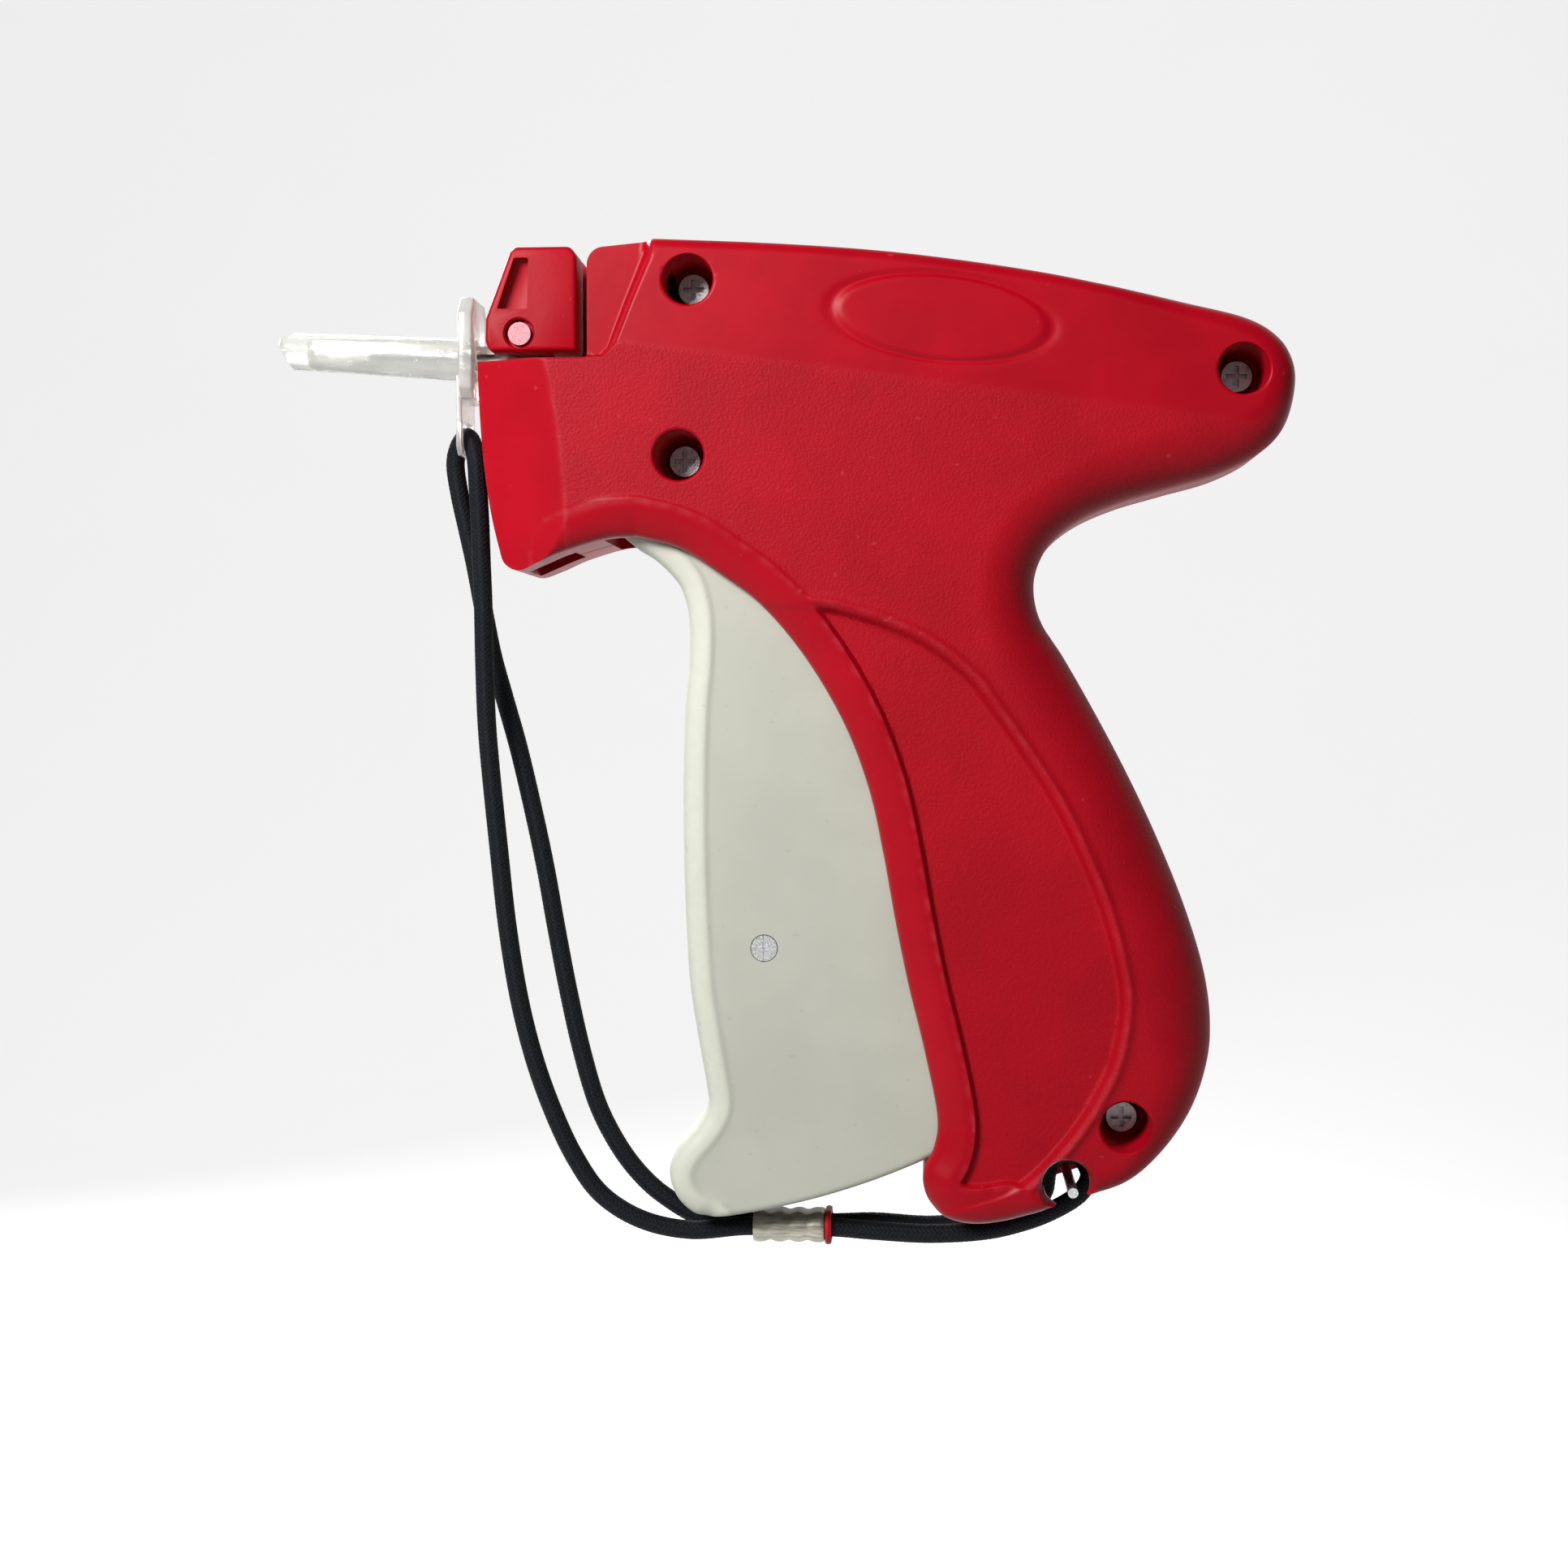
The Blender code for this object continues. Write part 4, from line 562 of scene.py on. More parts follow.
def shell(side, plans):
    """One half of the casing: its slab hollowed out, given its posts, and cut for everything that passes."""
    name = "casing_half_left" if side < 0 else "casing_half_right"
    plan, height, hollow, depth = plans
    piece = slab(name, side, plan, height, [(0.0, 0.62), (0.0, 0.5), (0.28, 0.15)], 0.15)
    cavity = slab("cavity", side, hollow, depth, [], -1.0)
    carve(cavity, ("DIFFERENCE", block("nose_block", (-75, -20, 25), (-49.5, 20, 100))),
          ("DIFFERENCE", block("head_block", (-50.5, -20, 68), (-36, 20, 100))))
    steps = [("DIFFERENCE", cavity)]
    faces = casing_face(np.array([*SCREWS, tuple(PIVOT), FULCRUM]))[0] - 1.2
    starts = [1.0] * 4 + [9.9, 9.8]
    radii = [4.65 if side < 0 else 3.4] * 4 + [3.4, 3.4]
    for place, top, start, radius in zip([*SCREWS, tuple(PIVOT), FULCRUM], faces, starts, radii):
        steps.append(("UNION", peg("post", place, radius, *sorted((side * start, side * top)))))
    x, z = LANYARD
    steps += [
        ("DIFFERENCE", plate("trigger_opening", trigger_opening(), -9.8, 9.8)),
        ("DIFFERENCE", peg("hub_room", PIVOT, 4.5, -9.8, 9.8)),
        ("DIFFERENCE", block("head_cavity", (-45.5, -7.4, 66), (-35.5, 7.4, 84.2))),
        ("DIFFERENCE", block("clip_way", (-53.5, -2.25, 67), (-43.1, 2.25, 95))),
        ("DIFFERENCE", block("spine_way", (-54.1, -2.25, 46), (-49.9, 2.25, 75))),
        ("DIFFERENCE", block("spine_exit", (-56.8, -5, 35), (-49.9, 5, 46.5))),
        ("DIFFERENCE", block("carrier_pocket", (-60.5, -3.5, 62.2), (-54.3, 3.5, 75))),
        ("DIFFERENCE", turned("hub_groove", [(0, 0), (2.1, 0), (2.1, 10), (0, 10)], (-70, 0, 72), (1, 0, 0))),
        ("DIFFERENCE", block("lanyard_room", (x - 5.8, -9.2, z - 8), (x + 4.9, 9.2, z + 5))),
        ("DIFFERENCE", peg("lanyard_socket", LANYARD, 0.85, -11, 11)),
        ("DIFFERENCE", peg("pivot_socket", PIVOT, 1.65, -11.2, 11.2)),
        ("DIFFERENCE", peg("fulcrum_socket", FULCRUM, 1.65, -11.2, 11.2))]
    if side < 0:
        mouth = [(0, -3), (3.3, -3), (3.4, 0), (4.4, 3.4), (0, 3.4)]
        steps.append(("DIFFERENCE", turned("lanyard_mouth", mouth, (x - 0.9, -10.9, z + 1.3), (0, -1, 0))))
    for index, place in enumerate(SCREWS):
        if side < 0:
            top = float(faces[index]) + 1.2
            steps.append(("DIFFERENCE", recess(side, place, 3.55, top, 2.3)))
            steps.append(("DIFFERENCE", peg("clear_hole", place, 1.65, -4.0, 1.0)))
        else:
            steps.append(("DIFFERENCE", peg("pilot", place, 1.55, -1.0, 8.4)))
    carve(piece, *steps)
    points = np.empty(len(piece.data.vertices) * 3)
    piece.data.vertices.foreach_get("co", points)
    points = points.reshape(-1, 3) / MM
    face, grain, highlight_and_wear = casing_face(points[:, [0, 2]])
    outside = np.abs(points[:, 1]) > face - 0.05
    for key, value in (("grain", grain * outside), ("highlight_and_wear", highlight_and_wear * outside)):
        piece.data.attributes.new(key, "FLOAT", "POINT").data.foreach_set("value", value.astype(np.float32))
    return shade(piece, 40.0)


def red_plastic(name, colour, grain_depth, painted_edge_light):
    """Moulded red plastic: finely grained where the tool was etched, smooth elsewhere, pale along creases and
    edges as painted highlight with some edge wear.
    """
    look = Look(name, Specular_IOR_Level=0.14)
    grain, highlight_and_wear = (look.kept("grain"), look.kept("highlight_and_wear")) if painted_edge_light else (0.35, 0.0)
    fine = look.noise(0.42, 2.0, 0.6)
    cloudy = look.noise(14.0, 3.0, 0.55)
    specks = look.band(look.noise(1.1, 0.0), 0.83, 0.87)
    tone = look.blend(look.band(cloudy, 0.3, 0.7), shaded(colour, 0.92), shaded(colour, 1.08))
    tone = look.blend(look.band(fine, 0.35, 0.8) * grain * 0.22, tone, shaded(colour, 0.62))
    # Pale pink: dust specks at random, and painted highlight with some edge wear along the casing's creases and
    # edges.
    pale = (min(1.0, colour[0] * 1.25), colour[1] + 0.07, colour[2] + 0.08)
    tone = look.blend(specks * 0.3 + look.band(look.noise(2.2, 3.0), 0.35, 0.75) * highlight_and_wear * 0.32, tone, pale)
    roughness = 0.3 + grain * 0.17 + cloudy * 0.08 + fine * 0.04
    look.raised(fine * grain + look.noise(3.5, 2.0) * 0.35, grain_depth)
    return look.finish(Base_Color=tone, Roughness=roughness)


# Trigger

def trigger_outline():
    """The trigger's outline: front, foot (an arc about the pivot), rear inside the rim, and top."""
    radius, angle = about_pivot(RIM[::4])
    keep = (radius > 7.2) & (radius < TOE_RADIUS - 0.5)
    radius, angle = radius[keep], angle[keep]
    rear = from_pivot(radius, angle + 2.2 / radius)
    foot = from_pivot(np.full(36, TOE_RADIUS), np.linspace(TOE_ANGLE, angle[0] + 2.2 / radius[0], 38)[1:-1])
    top = [(PIVOT[0] + 3.6, PIVOT[1] + 1.0), (PIVOT[0] - 2.6, PIVOT[1] - 2.4)]
    return np.vstack([FRONT, foot, rear, top, FRONT[:1]])


def trigger_side(points, outline):
    """Half the trigger's thickness over each point: flat, with a full round at the front and a small one
    at the foot, each a quarter of an ellipse of the distance to its edge, and a slight lip with a faint
    step down of 0.12 mm behind the front round."""
    look = bpy.context.scene.gun_trigger
    radius = look.edge_radius / MM
    front = nearest(points, FRONT)[0]
    gap = nearest(points, outline)[0]
    share = np.clip(1.0 - front / radius, 0.0, 1.0)
    small = np.clip(1.0 - gap / 1.0, 0.0, 1.0)
    height = 9.2 - 0.72 * radius * (1.0 - np.sqrt(1.0 - share ** 2)) - 0.7 * (1.0 - np.sqrt(1.0 - small ** 2))
    lip = np.exp(-((front - radius - 0.2) / 0.45) ** 2)
    return height - 0.12 * ease(front, radius, radius + 0.9) + 0.05 * lip


TRIGGER_SPINE = {"hub": (-40.8, 47.6), "neck": (-36.5, 42.8), "upper": (-25.5, 32.0), "foot": (-14.0, -38.0)}
TRIGGER_SECTIONS = [
    ((-40.2, 43.0), "neck", "upper", 40), ((-33.1, 32.0), "upper", "foot", 150),
    ((-30.4, -37.6), "foot", "foot", 150), ((5.2, -36.0), "foot", "upper", 150),
    ((-18.5, 33.6), "upper", "neck", 40), ((-34.2, 45.4), "neck", "hub", 12),
    ((-37.0, 47.0), "hub", "hub", 30), ((-45.6, 47.6), "hub", "neck", 12)]
DRIVE_PIN = (-22.0, -14.6)


def two_sided(name, plan, height, values=None):
    """A solid that is alike on both sides of the mid-plane: the plan's rows at +height, then at -height."""
    sides = [np.dstack([rows[..., 0], sign * y, rows[..., 1]])
             for rows, y, sign in ((plan[::-1], height[::-1], 1), (plan, height, -1))]
    both = {key: np.vstack([value[::-1], value]) for key, value in (values or {}).items()}
    return sheet_of(name, np.vstack(sides), both)


def cream_plastic(colour):
    """Moulded cream plastic, satin, with a painted highlight along the rounded front edge."""
    look = Look("cream_plastic", Specular_IOR_Level=0.5)
    cloudy, fine = look.noise(16.0, 3.0, 0.55), look.noise(0.6, 2.0)
    tone = look.blend(look.band(cloudy, 0.3, 0.7), shaded(colour, 0.96), shaded(colour, 1.03))
    # Painted highlight: the rounded front edge is made lighter where the light falls on it.
    painted_edge_light = look.kept("highlight_and_wear") * (0.55 + look.noise(1.6, 3.0) * 0.5)
    tone = look.blend(painted_edge_light, tone, shaded(colour, 1.32))
    tone = look.blend(look.band(look.noise(1.1, 0.0), 0.8, 0.84) * 0.25, tone, shaded(colour, 0.7))
    look.raised(fine * 0.6 + look.noise(4.0, 2.0) * 0.4, 0.03)
    return look.finish(Base_Color=tone, Roughness=0.36 + cloudy * 0.12 + fine * 0.05)


# Needle lock and guard

LOCK = [(-62.5, 76.5), (-62.6, 73.4), (-62.0, 71.8), (-49.2, 71.8), (-49.2, 85.6), (-50.2, 86.8),
        (-58.2, 86.8), (-58.9, 86.1)]
LOCK_PIN = (-57.6, 74.35)
GUARD_BASE = np.array([-66.4, 0.0, 71.7])
GUARD_WAY = np.array([-math.cos(math.radians(3.5)), 0.0, math.sin(math.radians(3.5))])


def rounded(piece, width, segments=3, angle=25.0):
    """Rounds the piece's corners with a live Bevel, which the next carve keeps."""
    bevel = piece.modifiers.new("rounded", "BEVEL")
    bevel.width, bevel.segments, bevel.limit_method = width * MM, segments, "ANGLE"
    bevel.angle_limit, bevel.harden_normals = math.radians(angle), False
    return piece


def turned_block(name, low, high, place, degrees):
    """A box turned about the line across the gun through its place, by an angle from +x towards -z."""
    piece = block(name, low, high)
    turn = Matrix.Translation(Vector(place) * MM) @ Matrix.Rotation(math.radians(degrees), 4, "Y")
    piece.data.transform(turn)
    return piece


def lock_body():
    """The block over the needle's rear: a rounded plate with a sunk window and a pin's seat on each side."""
    half = 8.5
    piece = rounded(plate("lock_block", LOCK, -half, half), 0.6)
    steps = [("DIFFERENCE", block("lock_pocket", (-61.6, -3.6, 60), (-53.3, 3.6, 78.8))),
             ("DIFFERENCE", block("lock_hub_way", (-66, -2.4, 60), (-60, 2.4, 75.8))),
             ("DIFFERENCE", block("lock_channel", (-53.5, -2.25, 60), (-40, 2.25, 95))),
             ("DIFFERENCE", peg("lock_bore", LOCK_PIN, 1.02, -9, 9))]
    window = [(-58.3, 85.2), (-56.2, 85.2), (-56.4, 77.8), (-60.8, 77.9)]
    for side in (-1, 1):
        floor = rounded(plate("window", window, *sorted((side * (half - 1.8), side * (half + 1)))), 0.25, 2)
        seat = turned("seat", [(0, -1), (2.35, -1), (2.35, 0), (2.1, 0.25), (2.0, 1.3), (0, 1.3)],
                      (LOCK_PIN[0], side * half, LOCK_PIN[1]), (0, -side, 0))
        steps += [("DIFFERENCE", floor), ("DIFFERENCE", seat)]
    return shade(carve(piece, *steps), 32.0)


def guard_body():
    """The clear guard: a tapering tube about its tilted line, a flange, a cord tab and a bevelled tip."""
    outer = [(0, -1.2), (3.65, -1.2), (3.65, 0.0), (3.5, 0.3), (3.15, 0.55), (3.05, 0.9), (2.65, 27.9),
             (2.5, 28.25), (2.2, 28.4), (0, 28.4)]
    bore = [(0, -5.0), (2.52, -5.0), (2.45, 0.0), (1.95, 23.6), (1.6, 24.2), (0, 24.2)]
    flange = [(-6.2, 67.0), (-4.5, 65.5), (4.5, 65.5), (6.2, 67.0), (6.2, 78.0), (4.0, 80.4), (-4.0, 80.4),
              (-6.2, 78.0)]
    tab = [(-5.0, 58.6), (-3.8, 57.3), (3.8, 57.3), (5.0, 58.6), (5.0, 69.0), (-5.0, 69.0)]
    slot = [(-3.5, 58.2), (3.5, 58.2), (3.5, 62.45), (-3.5, 62.45)]
    piece = turned("clear_guard", outer, GUARD_BASE, GUARD_WAY, 56)
    ends = rounded(plate("flange", flange, -67.1, -65.0, crossing), 0.35)
    tongue = rounded(plate("tab", tab, -67.6, -66.8, crossing), 0.2, 2)
    opening = rounded(plate("cord_slot", slot, -70.0, -60.0, crossing), 0.5, 3)
    drilled = turned("bore", bore, GUARD_BASE, GUARD_WAY, 48)
    bevel = turned_block("bevel", (-8, -6, 0), (8, 6, 8), (-94.0, 0.0, 75.15), -27)
    end = turned_block("end", (-8, -6, -8), (0, 6, 8), (-94.1, 0.0, 72.8), -28)
    carve(piece, ("UNION", ends), ("UNION", tongue), ("DIFFERENCE", drilled), ("DIFFERENCE", opening),
          ("DIFFERENCE", bevel), ("DIFFERENCE", end))
    return shade(piece, 35.0)


def clear_plastic(colour, milkiness):
    """Clear guard plastic, a little milky, scuffed at random and smoother between the scuffs."""
    look = Look("clear_plastic", IOR=1.46, Transmission_Weight=1.0 - milkiness, Specular_IOR_Level=0.5)
    cloudy, scuffs = look.noise(5.0, 3.0), look.band(look.noise(0.9, 4.0, 0.7), 0.5, 0.75)
    tone = look.blend(look.band(cloudy, 0.3, 0.7), shaded(colour, 0.94), shaded(colour, 1.04))
    look.raised(scuffs * 0.5 + cloudy * 0.5, 0.05)
    return look.finish(Base_Color=tone, Roughness=0.14 + scuffs * 0.12 + cloudy * 0.08)


# Wrist cord

LOOP_FRONT = [
    (-19.2, -1.65, -56.8), (-25.6, -1.65, -56.8), (-33.5, -2.0, -57.4), (-40.7, -2.3, -55.9),
    (-46.7, -2.5, -52.2), (-50.7, -2.7, -46.6), (-54.0, -2.9, -39.5), (-56.8, -3.0, -31.5),
    (-59.0, -3.0, -22.5), (-60.7, -3.0, -11.8), (-61.9, -3.0, -0.5), (-63.0, -3.0, 10.5),
    (-63.6, -3.0, 18.0), (-63.9, -3.0, 26.5), (-64.05, -3.0, 35.0), (-64.3, -3.0, 42.0),
    (-64.5, -3.0, 48.0), (-64.75, -3.0, 52.5), (-65.0, -3.0, 56.6), (-65.75, -2.1, 59.3),
    (-67.1, 0.0, 60.4), (-68.6, 2.1, 59.3), (-69.35, 3.0, 56.6), (-68.7, 3.0, 52.0), (-67.6, 3.0, 47.0),
    (-66.4, 3.0, 41.5), (-65.2, 3.0, 35.0), (-63.8, 3.0, 28.0), (-62.0, 3.0, 21.5), (-59.9, 3.0, 14.0),
    (-57.7, 3.0, 4.6), (-55.9, 3.0, -4.0), (-54.3, 3.0, -13.0), (-52.6, 3.0, -22.0), (-50.6, 2.9, -31.0),
    (-48.2, 2.8, -39.2), (-45.2, 2.6, -45.2), (-41.8, 2.5, -49.8), (-37.8, 2.3, -53.3),
    (-32.2, 2.0, -56.3), (-25.6, 1.65, -56.8), (-19.2, 1.65, -56.8)]
LOOP_REAR = [
    (-18.5, -1.65, -56.8), (-12.1, -1.65, -56.8), (-6.0, -1.7, -57.2), (2.0, -1.8, -57.5),
    (10.0, -1.9, -56.9), (16.0, -2.0, -55.4), (20.5, -2.0, -53.5), (24.0, -1.8, -51.2),
    (25.45, -1.2, -48.6), (24.3, -0.3, -46.3), (22.3, 0.3, -45.6), (20.2, 1.0, -46.5), (19.4, 1.6, -48.9),
    (18.7, 1.9, -52.2), (15.4, 2.0, -55.0),
    (10.0, 1.9, -56.2), (2.0, 1.8, -57.0), (-6.0, 1.7, -56.6), (-12.1, 1.65, -56.8), (-18.5, 1.65, -56.8)]


def braid(name, route, diameter, strands, lay):
    """A round braid along a smooth route, with the route's points.

    The tube's radius follows two sets of strands that wind round it opposite ways, one turn in each lay
    length: where a strand of one set is on top it bulges as the root of a cosine, and the sets swap over
    and under from one crossing to the next. The ring at each point stands square to the path on a frame
    that is carried along without twist.
    """
    path = smooth_run(route, 0.19)
    along = lengths(path)
    forward = np.gradient(path, axis=0)
    forward /= np.linalg.norm(forward, axis=1)[:, None]
    side = np.zeros_like(path)
    side[0] = np.cross(forward[0], (0.0, 0.0, 1.0))
    for index in range(1, len(path)):
        side[index] = side[index - 1] - side[index - 1].dot(forward[index]) * forward[index]
        side[index] /= np.linalg.norm(side[index])
    up = np.cross(forward, side)
    turn = np.linspace(0.0, 2 * math.pi, 56, endpoint=False)
    wind = along[:, None] / lay * 2 * math.pi
    one, other = (turn + wind) * strands / 4, (turn - wind) * strands / 4
    over = np.cos(one + other) > 0
    bulge = np.where(over, np.sqrt(np.abs(np.cos(one))), np.sqrt(np.abs(np.cos(other))))
    radius = diameter / 2 - 0.3 * (1.0 - bulge)
    ends = ease(np.minimum(along, along[-1] - along), -0.4, 0.6)[:, None]
    radius = radius * np.maximum(ends, 0.55)
    ring = np.cos(turn)[:, None] * side[:, None] + np.sin(turn)[:, None] * up[:, None]
    grid = path[:, None] + radius[..., None] * ring
    caps = [np.repeat(path[end][None, None], 56, axis=1) for end in (0, -1)]
    tone = np.vstack([np.zeros(56), bulge, np.zeros(56)])
    lit = np.vstack([np.zeros(56), np.where(over, 1.0, 0.0), np.zeros(56)])
    return sheet_of(name, np.vstack([caps[0], grid, caps[1]]), {"strand": tone, "over": lit}), path


def black_cord(colour):
    """Braided polyester: painted shade in the gaps between strands, a painted sheen on the strands of one
    winding direction, and pale fibre flecks on the strand tops as painted glints.
    """
    look = Look("braided_cord", Specular_IOR_Level=0.15, Sheen_Weight=0.05, Sheen_Roughness=0.4)
    strand = look.kept("strand")
    fibre = look.noise(0.16, 2.0, 0.6)
    # Painted sheen: the strands of one winding direction are lighter where light catches them.
    tone = look.blend(look.kept("over"), shaded(colour, 0.7), shaded(colour, 1.7))
    # Painted shade: the gaps between strands go near black.
    tone = look.blend(look.band(strand, 0.35, 0.95), shaded(colour, 0.12), tone)
    # Painted glints: pale fibre flecks on the strand tops.
    tone = look.blend(look.band(fibre, 0.5, 0.8) * strand * 0.45, tone, shaded(colour, 4.0))
    look.raised(fibre, 0.06)
    return look.finish(Base_Color=tone, Roughness=0.5 + fibre * 0.25)


def sleeve(name, low, high, width, height, hollow, dents, middle=-56.8):
    """A flat round-ended tube along the gun: a stadium outline at each station, pinched where it is crimped,
    turned in at both ends and closed through its hollow."""
    turn = np.linspace(0.0, 2 * math.pi, 96, endpoint=False)
    flat = width - height

    def stadium(shrink):
        y = (height - shrink) * np.cos(turn) + np.sign(np.round(np.cos(turn), 9)) * flat
        return np.stack([y, (height - shrink) * np.sin(turn)], axis=1)

    stations = np.linspace(low, high, 60)
    pinch = sum(0.32 * np.exp(-((stations - place) / 0.7) ** 2) for place in dents) if dents else 0 * stations
    soft = 0.18 * (1.0 - ease(np.minimum(stations - low, high - stations), -0.1, 0.5))
    rows = [(x, stadium(0.0) * (1.0, 1.0) - stadium(0.0) * ((p * 0.15 + s) / width, (p + s) / height))
            for x, p, s in zip(stations, pinch, soft)]
    rows += [(x, stadium(hollow)) for x in np.linspace(high, low, 12)]
    grid = np.array([np.column_stack([np.full(96, x), ring[:, 0], ring[:, 1] + middle]) for x, ring in rows])
    return sheet_of(name, grid, over=True)


def crimped_metal(colour):
    """Dull plated sheet metal, streaked along its length."""
    look = Look("crimped_sleeve", Specular_IOR_Level=0.5)
    place = look.node("Mapping", {}, {"Vector": look.place(), "Scale": (0.12, 1.0, 1.0)})
    streaks, cloudy = look.noise(0.35, 4.0, 0.65, place), look.noise(2.5, 3.0)
    tone = look.blend(look.band(streaks, 0.3, 0.7), shaded(colour, 0.7), shaded(colour, 1.35))
    look.raised(streaks * 0.6 + cloudy * 0.4, 0.08)
    return look.finish(Base_Color=tone, Roughness=0.3 + streaks * 0.25, Metallic=0.55 + cloudy * 0.3)


# Steel and acetal fittings

def steel(name, colour, roughness, stretch=(1.0, 1.0, 1.0), grime_and_shade=0.3):
    """Steel with fine marks drawn out one way, darker blotches at random and uneven gloss; the blotches are
    grime, and on the screws also painted shade.
    """
    look = Look(name, Specular_IOR_Level=0.5)
    place = look.node("Mapping", {}, {"Vector": look.place(), "Scale": stretch})
    marks, cloudy = look.noise(0.25, 4.0, 0.7, place), look.noise(0.9, 3.0, 0.6)
    tone = look.blend(look.band(marks, 0.3, 0.75), shaded(colour, 0.75), shaded(colour, 1.15))
    # Darker blotches at random: grime, and where the share is raised, painted shade.
    tone = look.blend(look.band(cloudy, 0.5, 0.8) * grime_and_shade, tone, shaded(colour, 0.25))
    look.raised(marks, 0.05)
    return look.finish(Base_Color=tone, Roughness=roughness + marks * 0.2, Metallic=1.0 - cloudy * 0.15)


def acetal(colour):
    """Natural white acetal: waxy, with a faint mottle and fine flow marks."""
    look = Look("acetal", Specular_IOR_Level=0.5, Subsurface_Weight=0.0)
    cloudy, fine = look.noise(4.0, 3.0), look.noise(0.5, 2.0)
    tone = look.blend(look.band(cloudy, 0.3, 0.7), shaded(colour, 0.93), shaded(colour, 1.05))
    look.raised(fine * 0.5 + cloudy * 0.5, 0.03)
    return look.finish(Base_Color=tone, Roughness=0.34 + cloudy * 0.14)


# Sizes and colours that a user would change

def colour(name, value, text):
    return bpy.props.FloatVectorProperty(name=name, description=text, subtype="COLOR", size=3,
                                         min=0.0, max=1.0, default=value)


def size(name, value, text, low=0.0, high=1.0):
    return bpy.props.FloatProperty(name=name, description=text, default=value, min=low, max=high,
                                   unit="LENGTH", precision=5)


class CasingSettings(bpy.types.PropertyGroup):
    colour: colour("Casing Colour", (0.43, 0.0004, 0.010), "Colour of the moulded casing and the needle lock")
    grain_depth: size("Grain Depth", 0.00008, "Depth of the fine grain on the casing's lower part", 0.0, 0.001)
    leaf_depth: size("Leaf Panel Depth", 0.0012, "How far the grip's leaf-shaped panel is sunk", 0.0004, 0.0015)
    badge_height: size("Badge Height", 0.0002, "How far the blank oval stands out of the casing", 0.0, 0.0008)


class TriggerSettings(bpy.types.PropertyGroup):
    colour: colour("Trigger Colour", (0.55, 0.56, 0.475), "Colour of the moulded trigger")
    edge_radius: size("Edge Radius", 0.0032, "Reach of the rounding along the trigger's front", 0.001, 0.004)


class GuardSettings(bpy.types.PropertyGroup):
    colour: colour("Guard Colour", (0.86, 0.86, 0.82), "Tint of the clear needle guard")
    milkiness: bpy.props.FloatProperty(name="Milkiness", description="Share of light that the guard scatters",
                                       default=0.35, min=0.0, max=1.0, subtype="FACTOR")


class CordSettings(bpy.types.PropertyGroup):
    colour: colour("Cord Colour", (0.0052, 0.0066, 0.0096), "Colour of the braided wrist cord")
    sleeve: colour("Sleeve Colour", (0.36, 0.34, 0.28), "Colour of the crimped sleeve on the cord")
    band: colour("Band Colour", (0.6, 0.01, 0.02), "Colour of the thin band behind the sleeve")
    diameter: size("Cord Diameter", 0.0028, "Thickness of the braided cord", 0.002, 0.0028)
    strands: bpy.props.IntProperty(name="Strands", description="Strands in the braid", default=20,
                                   min=8, max=24)
    lay: size("Lay Length", 0.0068, "Length in which a strand winds once round the cord", 0.004, 0.03)


class FittingSettings(bpy.types.PropertyGroup):
    steel: colour("Steel Colour", (0.62, 0.62, 0.63), "Colour of the screws, pins, needle and lever")
    acetal: colour("Acetal Colour", (0.75, 0.74, 0.7), "Colour of the white inner mouldings")


class StageSettings(bpy.types.PropertyGroup):
    floor: size("Floor Height", -0.16, "Height of the backdrop's floor", -1.0, 0.0)
    colour: colour("Backdrop Colour", (0.9, 0.9, 0.9), "Colour of the floor and backdrop")
    glow: bpy.props.FloatProperty(name="Backdrop Glow", description="Light that the backdrop gives of itself",
                                  default=0.75, min=0.0)
    key: bpy.props.FloatProperty(name="Key Light", description="Power of the soft key light", default=2.1,
                                 min=0.0, unit="POWER")
    fill: bpy.props.FloatProperty(name="Fill Light", description="Power of the soft fill light", default=0.45,
                                  min=0.0, unit="POWER")


# Operators

